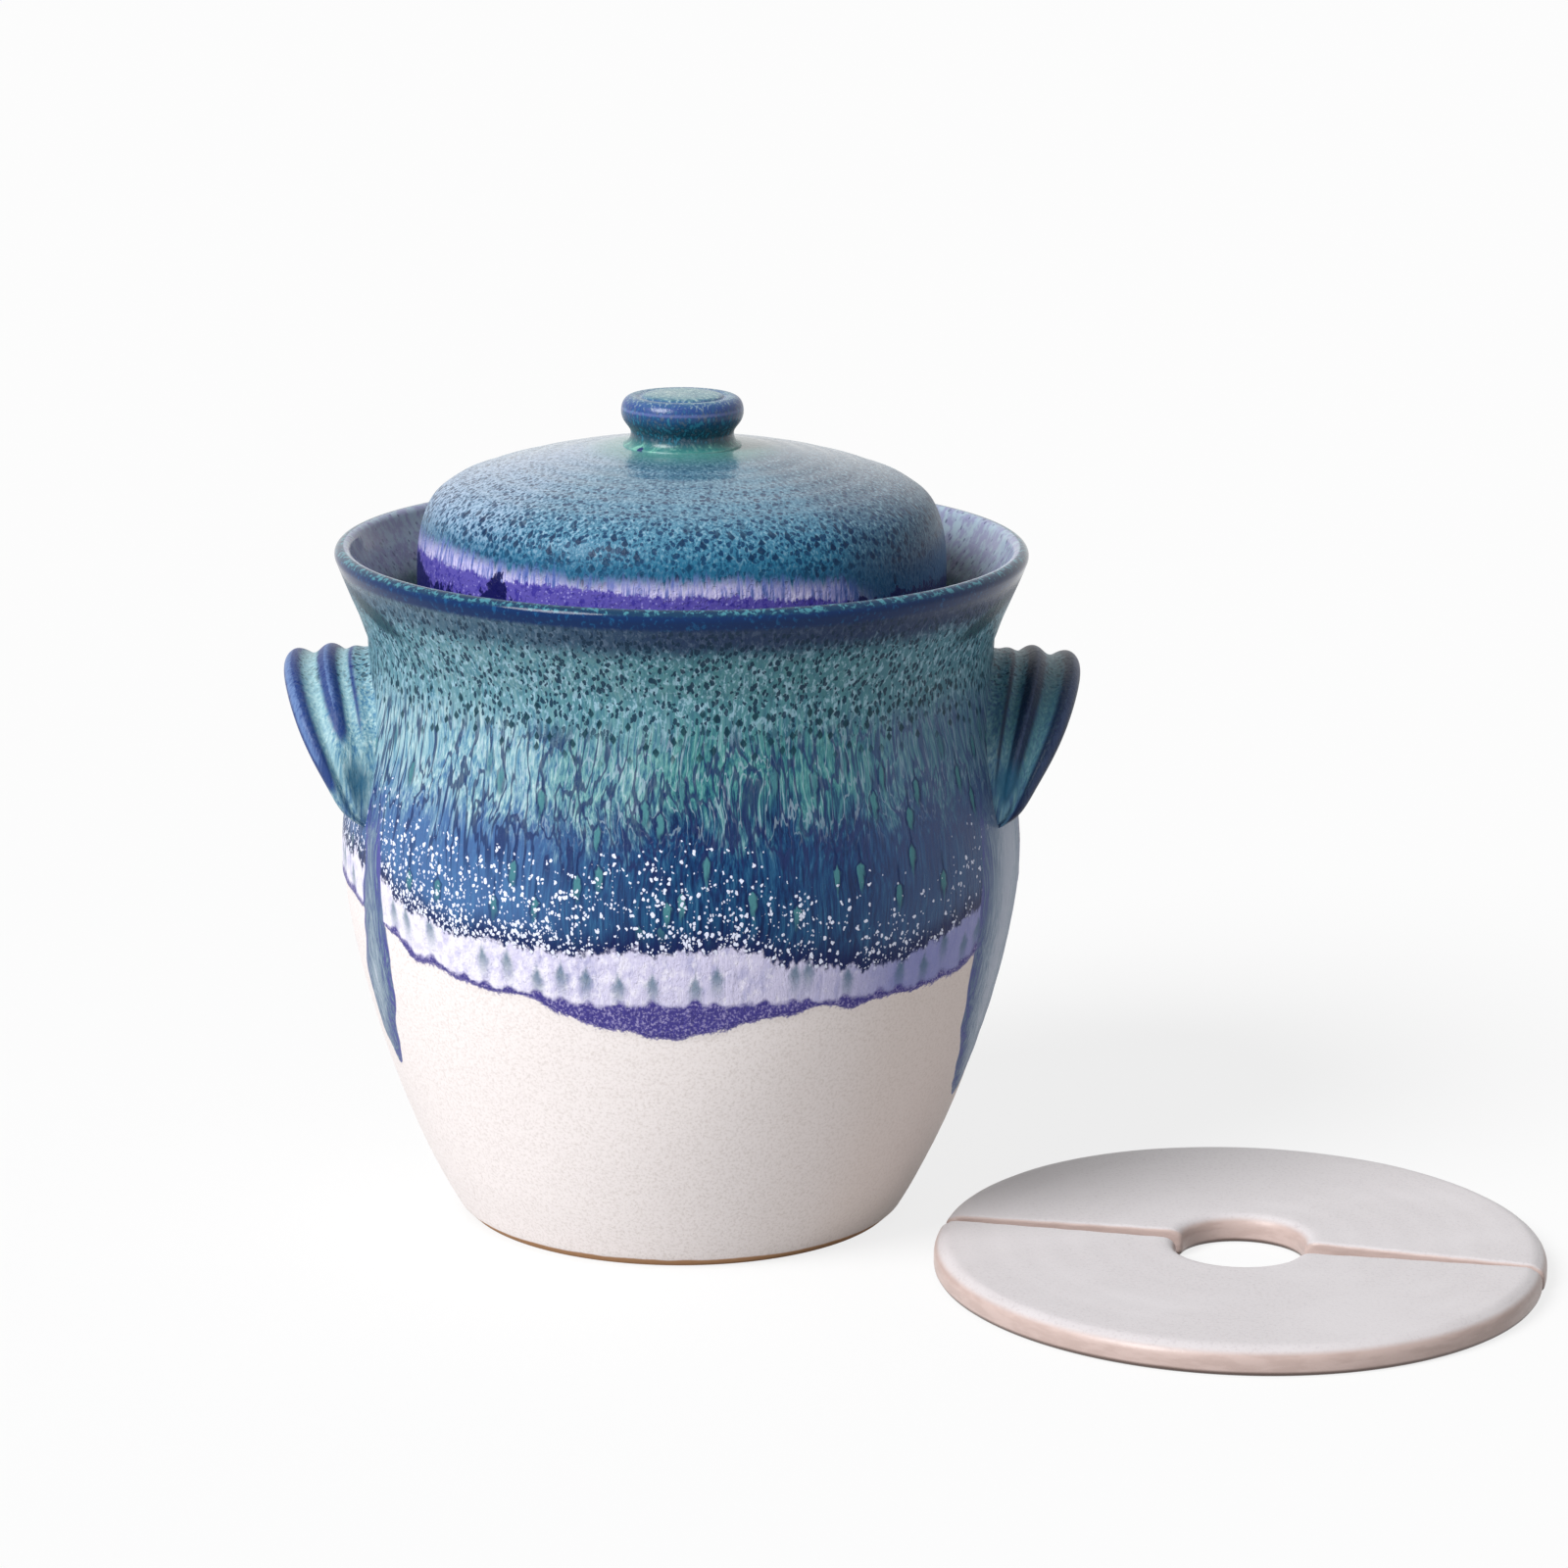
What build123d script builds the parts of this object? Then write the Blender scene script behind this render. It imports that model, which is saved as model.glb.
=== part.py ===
from build123d import *
import os
from math import asin, cos, radians, sin

# A thrown stoneware crock for pickling under a water seal, with its lid and its two half-disc weights.
# All lengths are millimetres. The origin is the centre of the crock's flat base, +Z is up, the handles
# lie along X, and the weights lie on the same surface, in front of the crock and to its right.

# Crock wall, as far as the neck
foot_radius = 68.5
foot_bevel = 3.0
foot_spread = 21.8
foot_rise = 36.6
belly_radius = 106.6
belly_height = 119.0
belly_rise = 25.8
neck_radius = 97.4
neck_height = 180.0
wall = 7.0
floor_thickness = 9.0
floor_round = 12.0

# Flared rim with its rolled lip, and the water gutter inside it
rim_radius = 108.0
lip_radius = 2.7
lip_angle = 20.0
flange_rise = 31.2
flange_spring = 10.0
flange_roll = 10.3
gutter_radius = 91.0
gutter_rise = 10.0
gutter_round = 4.0
ledge_thickness = 8.0
ledge_round = 9.0
throat_round = 2.0

# Collar round the throat, the inner wall of the gutter
throat_radius = 66.0
collar_wall = 6.0
collar_height = 20.0
collar_round = 2.8

# Handles: pulled straps, arched from front to back and pressed on at both ends, a drop below the neck
arch_half_span = 40.0
arch_drop = 53.0
arch_rise = 51.0
strap_reach = 27.5
strap_thickness = 10.0
strap_furrow = 1.8
strap_root = 4.0
slip_gap = 0.3

# Lid: its rises count from the gutter's floor to the bulge, on to the shoulder and on to the crown
lid_radius = 82.6
lid_bulge_rise = 16.0
skirt_radius = 81.3
skirt_round = 2.0
side_pull = 14.0
shoulder_radius = 72.5
shoulder_rise = 28.0
shoulder_slope = 32.0
shoulder_pull = 10.0
crown_rise = 13.4
crown_flat = 33.0
lid_wall = 6.0
lid_clearance = 0.3

# Knob
knob_seat_drop = 0.7
knob_foot_radius = 17.8
knob_waist_radius = 15.9
knob_waist_height = 3.4
knob_radius = 19.0
knob_bead_height = 10.8
knob_crest_radius = 15.6
knob_crest_height = 15.4
knob_button_radius = 12.6
knob_step_height = 14.9
knob_height = 16.2

# Weights: one disc cut freehand in two halves, which lie a little apart. A rim or hole value with left
# or right says how far the cut strays there behind the disc's middle line.
weight_radius = 93.4
weight_thickness = 9.0
finger_hole_radius = 19.0
weight_top_round = 3.0
weight_bottom_round = 1.6
cut_corner_round = 4.0
cut_turn = -13.9
back_x = 173.8
back_y = -66.0
back_rim_left = -1.5
back_hole_left = 1.0
back_hole_right = -0.5
back_rim_right = -6.0
front_x = 171.5
front_y = -73.2
front_rim_left = 1.5
front_hole_left = 1.5
front_hole_right = -3.0
front_rim_right = 0.5

overrun = 1.0

# Heights and places that follow from the sizes above
lip_height = neck_height + flange_rise
ledge_under = neck_height
gutter_floor = ledge_under + ledge_thickness
arch_foot_height = neck_height - arch_drop
skirt_bottom = gutter_floor + lid_clearance
lid_bulge_height = gutter_floor + lid_bulge_rise
shoulder_height = lid_bulge_height + shoulder_rise
crown_height = shoulder_height + crown_rise
knob_seat = crown_height - knob_seat_drop
lip_centre = rim_radius - lip_radius
lip_lean = Vector(sin(radians(lip_angle)), cos(radians(lip_angle)))
lip_outer = Vector(lip_centre + lip_radius * lip_lean.Y, lip_height - lip_radius * lip_lean.X)
lip_inner = Vector(lip_centre - lip_radius * lip_lean.Y, lip_height + lip_radius * lip_lean.X)

os.makedirs("parts", exist_ok=True)


def save(part, name):
    part.label = name
    export_step(part, f"parts/{name}.step")


def nearest_vertex(shape, radius, height):
    return shape.vertices().sort_by_distance((radius, height))[0]


def crock_side(inset):
    # The side from foot to neck, drawn in by inset
    foot = Vector(foot_radius + foot_bevel - inset, foot_bevel)
    belly = Vector(belly_radius - inset, belly_height)
    neck = Vector(neck_radius - inset, neck_height)
    lift = Vector(0, (neck_height - belly_height) / 3)
    Bezier(foot, foot + Vector(foot_spread, foot_rise), belly - Vector(0, belly_rise), belly)
    Bezier(belly, belly + lift, neck - lift, neck)
    return foot, neck


def flange_underside(inset):
    # From the neck out to the lip, drawn in by inset
    neck = Vector(neck_radius - inset, neck_height)
    lip = lip_outer - Vector(inset, 0)
    Bezier(neck, neck + Vector(0, flange_spring), lip - lip_lean * flange_roll, lip)
    return lip


def wall_radius(height):
    # Outer radius of the crock between its belly and its neck
    t = (height - belly_height) / (neck_height - belly_height)
    return belly_radius - (belly_radius - neck_radius) * (3 - 2 * t) * t * t


# Crock wall: floor, belly, neck, flared rim, and the ledge that is the gutter's floor
with BuildPart() as crock_wall:
    with BuildSketch(Plane.XZ) as profile:
        with BuildLine():
            foot, neck = crock_side(0)
            flange_underside(0)
            CenterArc((lip_centre, lip_height), lip_radius, -lip_angle, 180)
            gutter_edge = Vector(gutter_radius, gutter_floor)
            gutter_pull = gutter_edge + Vector(0, gutter_rise)
            Bezier(lip_inner, lip_inner - lip_lean * flange_roll, gutter_pull, gutter_edge)
            Polyline(gutter_edge, (0, gutter_floor), (0, 0), (foot_radius, 0), foot)
        make_face()
        with BuildLine():
            foot, neck = crock_side(wall)
            Polyline(neck, (0, neck_height), (0, foot_bevel), foot)
        make_face(mode=Mode.SUBTRACT)
        with BuildLine():
            ledge_radius = neck_radius - wall / 2
            Polyline((0, ledge_under), (ledge_radius, ledge_under), (ledge_radius, gutter_floor),
                     (0, gutter_floor), close=True)
        make_face()
        with BuildLine():
            Polyline((0, 0), (foot_radius, 0), (foot_radius, floor_thickness), (0, floor_thickness),
                     close=True)
        make_face()
        with BuildLine():
            Polyline((0, floor_thickness), (throat_radius, floor_thickness),
                     (throat_radius, gutter_floor + overrun), (0, gutter_floor + overrun), close=True)
        make_face(mode=Mode.SUBTRACT)
        fillet(nearest_vertex(profile, foot_radius, floor_thickness), floor_round)
        fillet(nearest_vertex(profile, neck_radius - wall, ledge_under), ledge_round)
        fillet(nearest_vertex(profile, throat_radius, ledge_under), throat_round)
        fillet(nearest_vertex(profile, gutter_radius, gutter_floor), gutter_round)
    revolve(axis=Axis.Z)
save(crock_wall.part, "crock_wall")

# Collar: a thrown ring that stands on the ledge and keeps the gutter's water out of the crock
with BuildPart() as throat_collar:
    with BuildSketch(Plane.XZ) as profile:
        with BuildLine():
            Polyline((throat_radius, gutter_floor), (throat_radius + collar_wall, gutter_floor),
                     (throat_radius + collar_wall, gutter_floor + collar_height),
                     (throat_radius, gutter_floor + collar_height), close=True)
        make_face()
        fillet(profile.vertices().group_by(Axis.Y)[-1], collar_round)
    revolve(axis=Axis.Z)
save(throat_collar.part, "throat_collar")

# Handles: a strap with three ridges and two furrows, lofted along an arch that rises from its front
# end to its back end. Each station has its angle round the arch, then the strap's reach and thickness
# as shares of the full ones.
station_shares = ((0, -0.03, 0.45), (8, 0.36, 0.62), (20, 0.62, 0.82), (42, 0.93, 0.96), (66, 1.0, 1.0))
arch_stations = station_shares + ((90, 1.0, 1.0),)
arch_stations += tuple((180 - angle, reach, thick) for angle, reach, thick in reversed(station_shares))

# The strap's section, round from its outer edge over the ridged side to the underside: shares of the
# reach and of the thickness, and how much of a furrow is pressed in there
section_shares = (
    (1.0, 0.02, 0), (0.95, 0.40, 0), (0.87, 0.52, 0), (0.74, 0.46, 1), (0.60, 0.54, 0), (0.44, 0.48, 1),
    (0.27, 0.54, 0), (0.0, 0.56, 0), (0.0, -0.52, 0), (0.3, -0.44, 0), (0.7, -0.38, 0), (0.94, -0.32, 0),
)


def strap_section(angle, reach_share, thick_share):
    across = -arch_half_span * cos(radians(angle))
    height = arch_foot_height + arch_rise * sin(radians(angle))
    radius = wall_radius(height)
    turn = asin(across / radius)
    outward = Vector(cos(turn), sin(turn), 0)
    root = outward * radius + Vector(0, 0, height)
    along = Vector(0, -arch_half_span * sin(radians(angle)), -arch_rise * cos(radians(angle)))
    along -= outward * along.dot(outward)
    reach = strap_reach * reach_share + strap_root
    thickness = strap_thickness * thick_share
    points = [
        (reach * out - strap_root, thickness * up - strap_furrow * thick_share * pressed)
        for out, up, pressed in section_shares
    ]
    with BuildSketch(Plane(origin=root, x_dir=outward, z_dir=along)) as section:
        with BuildLine():
            Spline(*points, periodic=True)
        make_face()
    return section.sketch


with BuildPart() as handle_right:
    loft([strap_section(*station) for station in arch_stations])
    with BuildSketch(Plane.XZ):
        with BuildLine():
            foot, neck = crock_side(-slip_gap)
            lip = flange_underside(-slip_gap)
            Polyline(lip, (0, lip.Y), (0, foot_bevel), foot)
        make_face()
    revolve(axis=Axis.Z, mode=Mode.SUBTRACT)
save(handle_right.part, "handle_right")

with BuildPart() as handle_left:
    add(handle_right.part)
    mirror(about=Plane.YZ, mode=Mode.REPLACE)
save(handle_left.part, "handle_left")


def lid_skin(inset):
    # From the skirt's bottom edge over the shoulder to the crown, drawn in by inset
    normal = Vector(sin(radians(shoulder_slope)), cos(radians(shoulder_slope)))
    fall = Vector(normal.Y, -normal.X)
    skirt = Vector(skirt_radius - inset, skirt_bottom)
    bulge = Vector(lid_radius - inset, lid_bulge_height)
    shoulder = Vector(shoulder_radius, shoulder_height) - normal * inset
    crown = Vector(0, crown_height - inset)
    Bezier(skirt, bulge - Vector(0, (lid_bulge_height - skirt_bottom) / 2), bulge)
    Bezier(bulge, bulge + Vector(0, side_pull), shoulder + fall * shoulder_pull, shoulder)
    Bezier(shoulder, shoulder - fall * shoulder_pull, crown + Vector(crown_flat, 0), crown)
    return skirt, crown


# Lid: a dome with a deep skirt, which stands in the gutter's water outside the collar
with BuildPart() as lid_dome:
    with BuildSketch(Plane.XZ) as profile:
        with BuildLine():
            skirt, crown = lid_skin(0)
            Polyline(crown, (0, skirt_bottom), skirt)
        make_face()
        with BuildLine():
            skirt, crown = lid_skin(lid_wall)
            Polyline(crown, (0, skirt_bottom), skirt)
        make_face(mode=Mode.SUBTRACT)
        fillet(profile.vertices().group_by(Axis.Y)[0], skirt_round)
        with BuildLine():
            Polyline((0, knob_seat), (shoulder_radius, knob_seat), (shoulder_radius, crown_height + overrun),
                     (0, crown_height + overrun), close=True)
        make_face(mode=Mode.SUBTRACT)
    revolve(axis=Axis.Z)
save(lid_dome.part, "lid_dome")

# Knob: a waist under a round bead, with a low button on top
with BuildPart() as lid_knob:
    with BuildSketch(Plane.XZ):
        with BuildLine():
            seat = Vector(0, knob_seat)
            foot = seat + Vector(knob_foot_radius, 0)
            waist = seat + Vector(knob_waist_radius, knob_waist_height)
            bead = seat + Vector(knob_radius, knob_bead_height)
            crest = seat + Vector(knob_crest_radius, knob_crest_height)
            step = seat + Vector(knob_button_radius, knob_step_height)
            top = seat + Vector(0, knob_height)
            bead_rise = Vector(0, (knob_bead_height - knob_waist_height) / 2)
            crest_run = Vector((knob_radius - knob_crest_radius) / 2, 0)
            Line(seat, foot)
            Bezier(foot, Vector(waist.X, foot.Y), waist)
            Bezier(waist, waist + bead_rise, bead - bead_rise, bead)
            Bezier(bead, Vector(bead.X, (bead.Y + crest.Y) / 2), crest + crest_run, crest)
            Bezier(crest, crest - crest_run, step)
            Bezier(step, Vector(step.X, top.Y), top)
            Line(top, seat)
        make_face()
    revolve(axis=Axis.Z)
save(lid_knob.part, "lid_knob")


def half_disc(x, y, side, rim_left, hole_left, hole_right, rim_right):
    # The pierced disc on one side of its cut, side 1 behind it and side -1 in front
    turn = radians(cut_turn)
    far = weight_radius + finger_hole_radius
    with BuildSketch(Plane(origin=(x, y, 0), x_dir=(cos(turn), sin(turn), 0))) as outline:
        Circle(weight_radius)
        Circle(finger_hole_radius, mode=Mode.SUBTRACT)
        with BuildLine():
            Polyline(
                (-far, rim_left),
                (-weight_radius, rim_left),
                (-finger_hole_radius / 2, hole_left),
                (finger_hole_radius / 2, hole_right),
                (weight_radius, rim_right),
                (far, rim_right),
                (far, -side * far),
                (-far, -side * far),
                close=True,
            )
        make_face(mode=Mode.SUBTRACT)
    return outline.sketch


def round_edges(weight):
    # Every edge is rounded by the thumb
    fillet(weight.edges().filter_by(Axis.Z), cut_corner_round)
    fillet(weight.faces().sort_by(Axis.Z)[-1].edges(), weight_top_round)
    fillet(weight.faces().sort_by(Axis.Z)[0].edges(), weight_bottom_round)


with BuildPart() as weight_back:
    outline = half_disc(back_x, back_y, 1,
                        back_rim_left, back_hole_left, back_hole_right, back_rim_right)
    extrude(outline, amount=weight_thickness)
    round_edges(weight_back)
save(weight_back.part, "weight_back")

with BuildPart() as weight_front:
    outline = half_disc(front_x, front_y, -1,
                        front_rim_left, front_hole_left, front_hole_right, front_rim_right)
    extrude(outline, amount=weight_thickness)
    round_edges(weight_front)
save(weight_front.part, "weight_front")
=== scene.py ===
from functools import lru_cache
from math import asin, atan2, cos, exp, hypot, pi, radians, sin

import bmesh
import bpy
from mathutils import Matrix, Vector, noise
from mathutils.geometry import interpolate_bezier


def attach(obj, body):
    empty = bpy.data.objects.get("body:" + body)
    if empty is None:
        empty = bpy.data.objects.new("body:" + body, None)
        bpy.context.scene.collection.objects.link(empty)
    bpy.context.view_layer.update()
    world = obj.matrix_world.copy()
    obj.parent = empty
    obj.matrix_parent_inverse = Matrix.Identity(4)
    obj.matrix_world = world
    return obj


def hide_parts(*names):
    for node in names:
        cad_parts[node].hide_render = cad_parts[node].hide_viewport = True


# A stoneware crock with a water seal, dipped in rutile blue glaze, beside its split weight.
# Sizes in the dictionaries are millimetres, angles are degrees, 0 at the front and positive to the right.

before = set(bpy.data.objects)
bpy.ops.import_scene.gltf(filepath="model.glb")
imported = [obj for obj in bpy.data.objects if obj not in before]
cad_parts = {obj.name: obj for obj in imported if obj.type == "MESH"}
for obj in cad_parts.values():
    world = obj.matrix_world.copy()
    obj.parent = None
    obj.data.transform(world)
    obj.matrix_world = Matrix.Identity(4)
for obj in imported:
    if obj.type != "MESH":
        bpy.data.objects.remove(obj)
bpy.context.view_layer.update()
mm = 0.001
print("frame loaded", sorted(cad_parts))


def smoothStep(low, high, value):
    t = min(1.0, max(0.0, (value - low) / (high - low)))
    return t * t * (3 - 2 * t)


@lru_cache(None)
def between(table, place):
    # Value of a table of (place, value) rows, eased from row to row
    if place <= table[0][0]:
        return table[0][1]
    for (placeA, valueA), (placeB, valueB) in zip(table, table[1:]):
        if place <= placeB:
            return valueA + (valueB - valueA) * smoothStep(placeA, placeB, place)
    return table[-1][1]


def angleOf(x, y):
    return round(atan2(x, -y) * 180 / pi, 1)


def curveRun(corners, steps):
    points = interpolate_bezier(*[(radius, height, 0) for radius, height in corners], steps)
    return [(point.x, point.y) for point in points]


def arcRun(centre, radius, first, last, steps):
    angles = [radians(first + (last - first) * step / steps) for step in range(steps + 1)]
    return [(centre[0] + radius * cos(angle), centre[1] + radius * sin(angle)) for angle in angles]


def newObject(bm, name, materials):
    mesh = bpy.data.meshes.new(name)
    bm.to_mesh(mesh)
    bm.free()
    for material in materials:
        mesh.materials.append(material)
    made = bpy.data.objects.new(name, mesh)
    bpy.context.scene.collection.objects.link(made)
    return made


def finishPiece(bm, name, body, nodes, materials):
    bmesh.ops.remove_doubles(bm, verts=bm.verts, dist=1e-6)
    bmesh.ops.recalc_face_normals(bm, faces=bm.faces)
    for face in bm.faces:
        face.smooth = True
    piece = newObject(bm, name, materials)
    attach(piece, body)
    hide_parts(*nodes)
    print(name, len(piece.data.polygons), "faces")
    return piece


def turnedMesh(profile, steps):
    # The thrown shape: its profile spun once round the wheel's axis
    bm = bmesh.new()
    chain = [bm.verts.new((radius * mm, 0, height * mm)) for radius, height in profile]
    edges = [bm.edges.new(pair) for pair in zip(chain, chain[1:])]
    bmesh.ops.spin(bm, geom=chain + edges, cent=(0, 0, 0), axis=(0, 0, 1), angle=2 * pi,
                   steps=steps, use_merge=True)
    bmesh.ops.remove_doubles(bm, verts=bm.verts, dist=1e-6)
    bmesh.ops.recalc_face_normals(bm, faces=bm.faces)
    return bm


def fieldLayers(bm, names):
    # The vertex attributes that the glaze reads
    return {name: bm.verts.layers.float.new(name) for name in names}


def setFields(vert, layers, values):
    for name, value in values.items():
        vert[layers[name]] = value


def hexColor(code):
    channels = [int(code[place:place + 2], 16) / 255 for place in (1, 3, 5)]
    linear = [c / 12.92 if c <= 0.04045 else ((c + 0.055) / 1.055) ** 2.4 for c in channels]
    return (*linear, 1.0)


def emptyTree(block):
    block.use_nodes = True
    block.node_tree.nodes.clear()
    return block.node_tree


def addNode(tree, kind, inputs=(), stops=(), **settings):
    # Inputs in order or by name: a socket is linked, a hex colour and a number are set
    node = tree.nodes.new("ShaderNode" + kind)
    for name, value in settings.items():
        setattr(node, name, value)
    for number, (place, code) in enumerate(stops):
        ramp = node.color_ramp.elements
        stop = ramp[number] if number < min(2, len(ramp)) else ramp.new(place)
        stop.position = place
        stop.color = hexColor(code)
    for name, value in (inputs if isinstance(inputs, dict) else dict(enumerate(inputs))).items():
        if isinstance(value, bpy.types.NodeSocket):
            tree.links.new(value, node.inputs[name])
        elif isinstance(value, str):
            node.inputs[name].default_value = hexColor(value)
        else:
            node.inputs[name].default_value = value
    return node.outputs


def newMaterial(name):
    material = bpy.data.materials.new(name)
    tree = emptyTree(material)
    place = addNode(tree, "TexCoord")["Object"]
    millimetres = addNode(tree, "VectorMath", {0: place, "Scale": 1000.0}, operation="SCALE")[0]
    return material, tree, millimetres


def readFields(tree, names):
    return {name: addNode(tree, "Attribute", attribute_name=name)["Fac"] for name in names}


def coat(tree, under, over, value, low, high, most=1.0):
    # One colour over another, from none where value is at low to most where it is at high
    share = addNode(tree, "MapRange", (value, low, high, 0.0, most), interpolation_type="SMOOTHSTEP")[0]
    return addNode(tree, "Mix", {0: share, 6: under, 7: over}, data_type="RGBA")[2]


def coats(tree, color, colors, rows):
    # Coats from the bottom up, each row a colour's name and then what coat needs
    for name, *where in rows:
        color = coat(tree, color, colors[name], *where)
    return color


def bent(tree, place, amount, wave):
    # The place pushed about by up to half of amount mm, in waves about wave mm long
    push = addNode(tree, "TexNoise", {"Vector": place, "Scale": 0.5 / wave, "Detail": 1.0})["Color"]
    push = addNode(tree, "VectorMath", (push, (0.5, 0.5, 0.5)), operation="SUBTRACT")[0]
    return addNode(tree, "VectorMath", (push, (amount, amount, amount), place), operation="MULTIPLY_ADD")[0]


def runs(tree, place, width, length, detail=3.0, rough=0.6):
    # Noise about width mm across and length mm tall, as glaze that ran downhill leaves it
    drawn = addNode(tree, "VectorMath", (place, (1, 1, width / length)), operation="MULTIPLY")[0]
    return addNode(tree, "TexNoise", {"Vector": drawn, "Scale": 0.5 / width, "Detail": detail,
                                      "Roughness": rough})[0]


def shifted(tree, value, *wobbles):
    # The value moved up or down by up to half of each amount, as the noise beside it says
    for wobble, amount in wobbles:
        centred = addNode(tree, "Math", (wobble, 0.5), operation="SUBTRACT")[0]
        value = addNode(tree, "Math", (centred, amount, value), operation="MULTIPLY_ADD")[0]
    return value


def around(tree, value, middle, near, far, most=1.0):
    # most where value is within near of middle, fading to none at far
    gap = addNode(tree, "Math", (value, middle), operation="SUBTRACT")[0]
    gap = addNode(tree, "Math", (gap,), operation="ABSOLUTE")[0]
    return addNode(tree, "MapRange", (gap, far, near, 0.0, most), interpolation_type="SMOOTHSTEP")[0]


def spots(tree, place, spacing, size, cover, upright=1.0):
    # Spots up to size mm across, in the share of cells spacing mm wide that cover says
    drawn = addNode(tree, "VectorMath", (place, (1, 1, 1 / upright)), operation="MULTIPLY")[0]
    cell = addNode(tree, "TexVoronoi", {"Vector": drawn, "Scale": 1 / spacing})
    chance = addNode(tree, "SeparateColor", (cell["Color"],))
    quarter = 0.25 * size / spacing
    reach = addNode(tree, "Math", (chance[1], quarter, quarter), operation="MULTIPLY_ADD")[0]
    inside = addNode(tree, "Math", (reach, cell["Distance"]), operation="SUBTRACT")[0]
    shown = addNode(tree, "Math", (chance[0], cover), operation="LESS_THAN")[0]
    return addNode(tree, "MapRange", (inside, -0.05, 0.05, 0.0, shown), interpolation_type="SMOOTHSTEP")[0]


def streaks(tree, place, width, length, thin):
    # Thin wandering lines about width mm apart, where a stretched noise crosses its middle
    drawn = runs(tree, place, width, length, 2.0, 0.5)
    return around(tree, drawn, 0.5, thin / 3, thin)


def unrolled(tree, place, radius):
    # The side unrolled round the wheel's axis: mm along it from the front, then mm up
    axes = addNode(tree, "SeparateXYZ", (place,))
    front = addNode(tree, "Math", (axes[1], -1.0), operation="MULTIPLY")[0]
    turn = addNode(tree, "Math", (axes[0], front), operation="ARCTAN2")[0]
    along = addNode(tree, "Math", (turn, radius), operation="MULTIPLY")[0]
    return addNode(tree, "CombineXYZ", (along, axes[2]))[0]


def drops(tree, flat, spacing, wide, upright, cover, fray, soft=0.12):
    # Drops of glaze that ran on the unrolled side, round above and fading below, and the dark hood round each
    drawn = addNode(tree, "VectorMath", (flat, (1, 1 / upright, 1)), operation="MULTIPLY")[0]
    cell = addNode(tree, "TexVoronoi", {"Vector": drawn, "Scale": 1 / spacing, "Randomness": 0.85},
                   voronoi_dimensions="2D")
    chance = addNode(tree, "SeparateColor", (cell["Color"],))[0]
    shown = addNode(tree, "Math", (chance, cover), operation="LESS_THAN")[0]
    fromHead = addNode(tree, "VectorMath", (drawn, cell["Position"]), operation="SUBTRACT")[0]
    parts = addNode(tree, "SeparateXYZ", (fromHead,))
    level, rise = addNode(tree, "Math", (parts[0],), operation="ABSOLUTE")[0], parts[1]
    half, tip = wide * spacing, -0.50 * spacing
    top = half / upright
    below = addNode(tree, "MapRange", (rise, tip, -0.15 * spacing, 0.0, half))[0]
    above = addNode(tree, "MapRange", (rise, top, -0.4 * top, 0.0, half))[0]
    inside = addNode(tree, "Math", (below, above), operation="MINIMUM")[0]
    inside = addNode(tree, "Math", (inside, level), operation="SUBTRACT")[0]
    inside = shifted(tree, inside, (fray, 0.7 * half))
    tail = addNode(tree, "MapRange", (rise, tip, -0.1 * spacing, 0.0, shown))[0]
    over = around(tree, rise, 0.0, 0.15 * spacing, 0.4 * spacing, shown)
    head = addNode(tree, "MapRange", (inside, 0.0, soft * spacing, 0.0, tail))[0]
    hood = addNode(tree, "MapRange", (inside, -0.10 * spacing, -0.02 * spacing, 0.0, over))[0]
    return head, hood


def rowOfDrops(tree, along, rise, spacing, fray):
    # One row of soft drops that stand on rise 0, darkest at the tip, and how near each place is to one
    cell = addNode(tree, "TexVoronoi", {"W": along, "Scale": 1 / spacing, "Randomness": 0.75},
                   voronoi_dimensions="1D")
    chance = addNode(tree, "SeparateColor", (cell["Color"],))
    level = addNode(tree, "Math", (along, cell["W"]), operation="SUBTRACT")[0]
    level = addNode(tree, "Math", (level,), operation="ABSOLUTE")[0]
    tip = addNode(tree, "MapRange", (chance[1], 0.0, 1.0, 8.0, 16.0))[0]
    below = addNode(tree, "Math", (tip, rise), operation="SUBTRACT")[0]
    half = addNode(tree, "MapRange", (below, -1.5, 4.0, 0.0, 2.7))[0]
    inside = addNode(tree, "Math", (half, level), operation="SUBTRACT")[0]
    inside = shifted(tree, inside, (fray, 1.6))
    strength = addNode(tree, "MapRange", (below, 2.0, 11.0, 0.9, 0.2))[0]
    here = addNode(tree, "MapRange", (chance[0], 0.8, 0.9, 1.0, 0.0))[0]
    strength = addNode(tree, "Math", (strength, here), operation="MULTIPLY")[0]
    drop = addNode(tree, "MapRange", (inside, -0.8, 2.2, 0.0, strength), interpolation_type="SMOOTHSTEP")[0]
    near = addNode(tree, "MapRange", (level, 3.2, 0.0, 0.0, 1.0), interpolation_type="SMOOTHSTEP")[0]
    return drop, near


def finishGlaze(material, tree, color, roughness, height, depth, shine=0.35):
    bump = addNode(tree, "Bump", {"Height": height, "Strength": 1.0, "Distance": depth * mm})[0]
    shader = addNode(tree, "BsdfPrincipled", {"Base Color": color, "Roughness": roughness,
                                              "Normal": bump, "Specular IOR Level": shine})[0]
    addNode(tree, "OutputMaterial", (shader,))
    return material


gutterColors = {
    "glaze": "#8a8eae", "cloud": "#9cb0c0", "freckle": "#3c4468", "paleCloud": "#9fb4bd", "pool": "#587a78",
}


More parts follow.
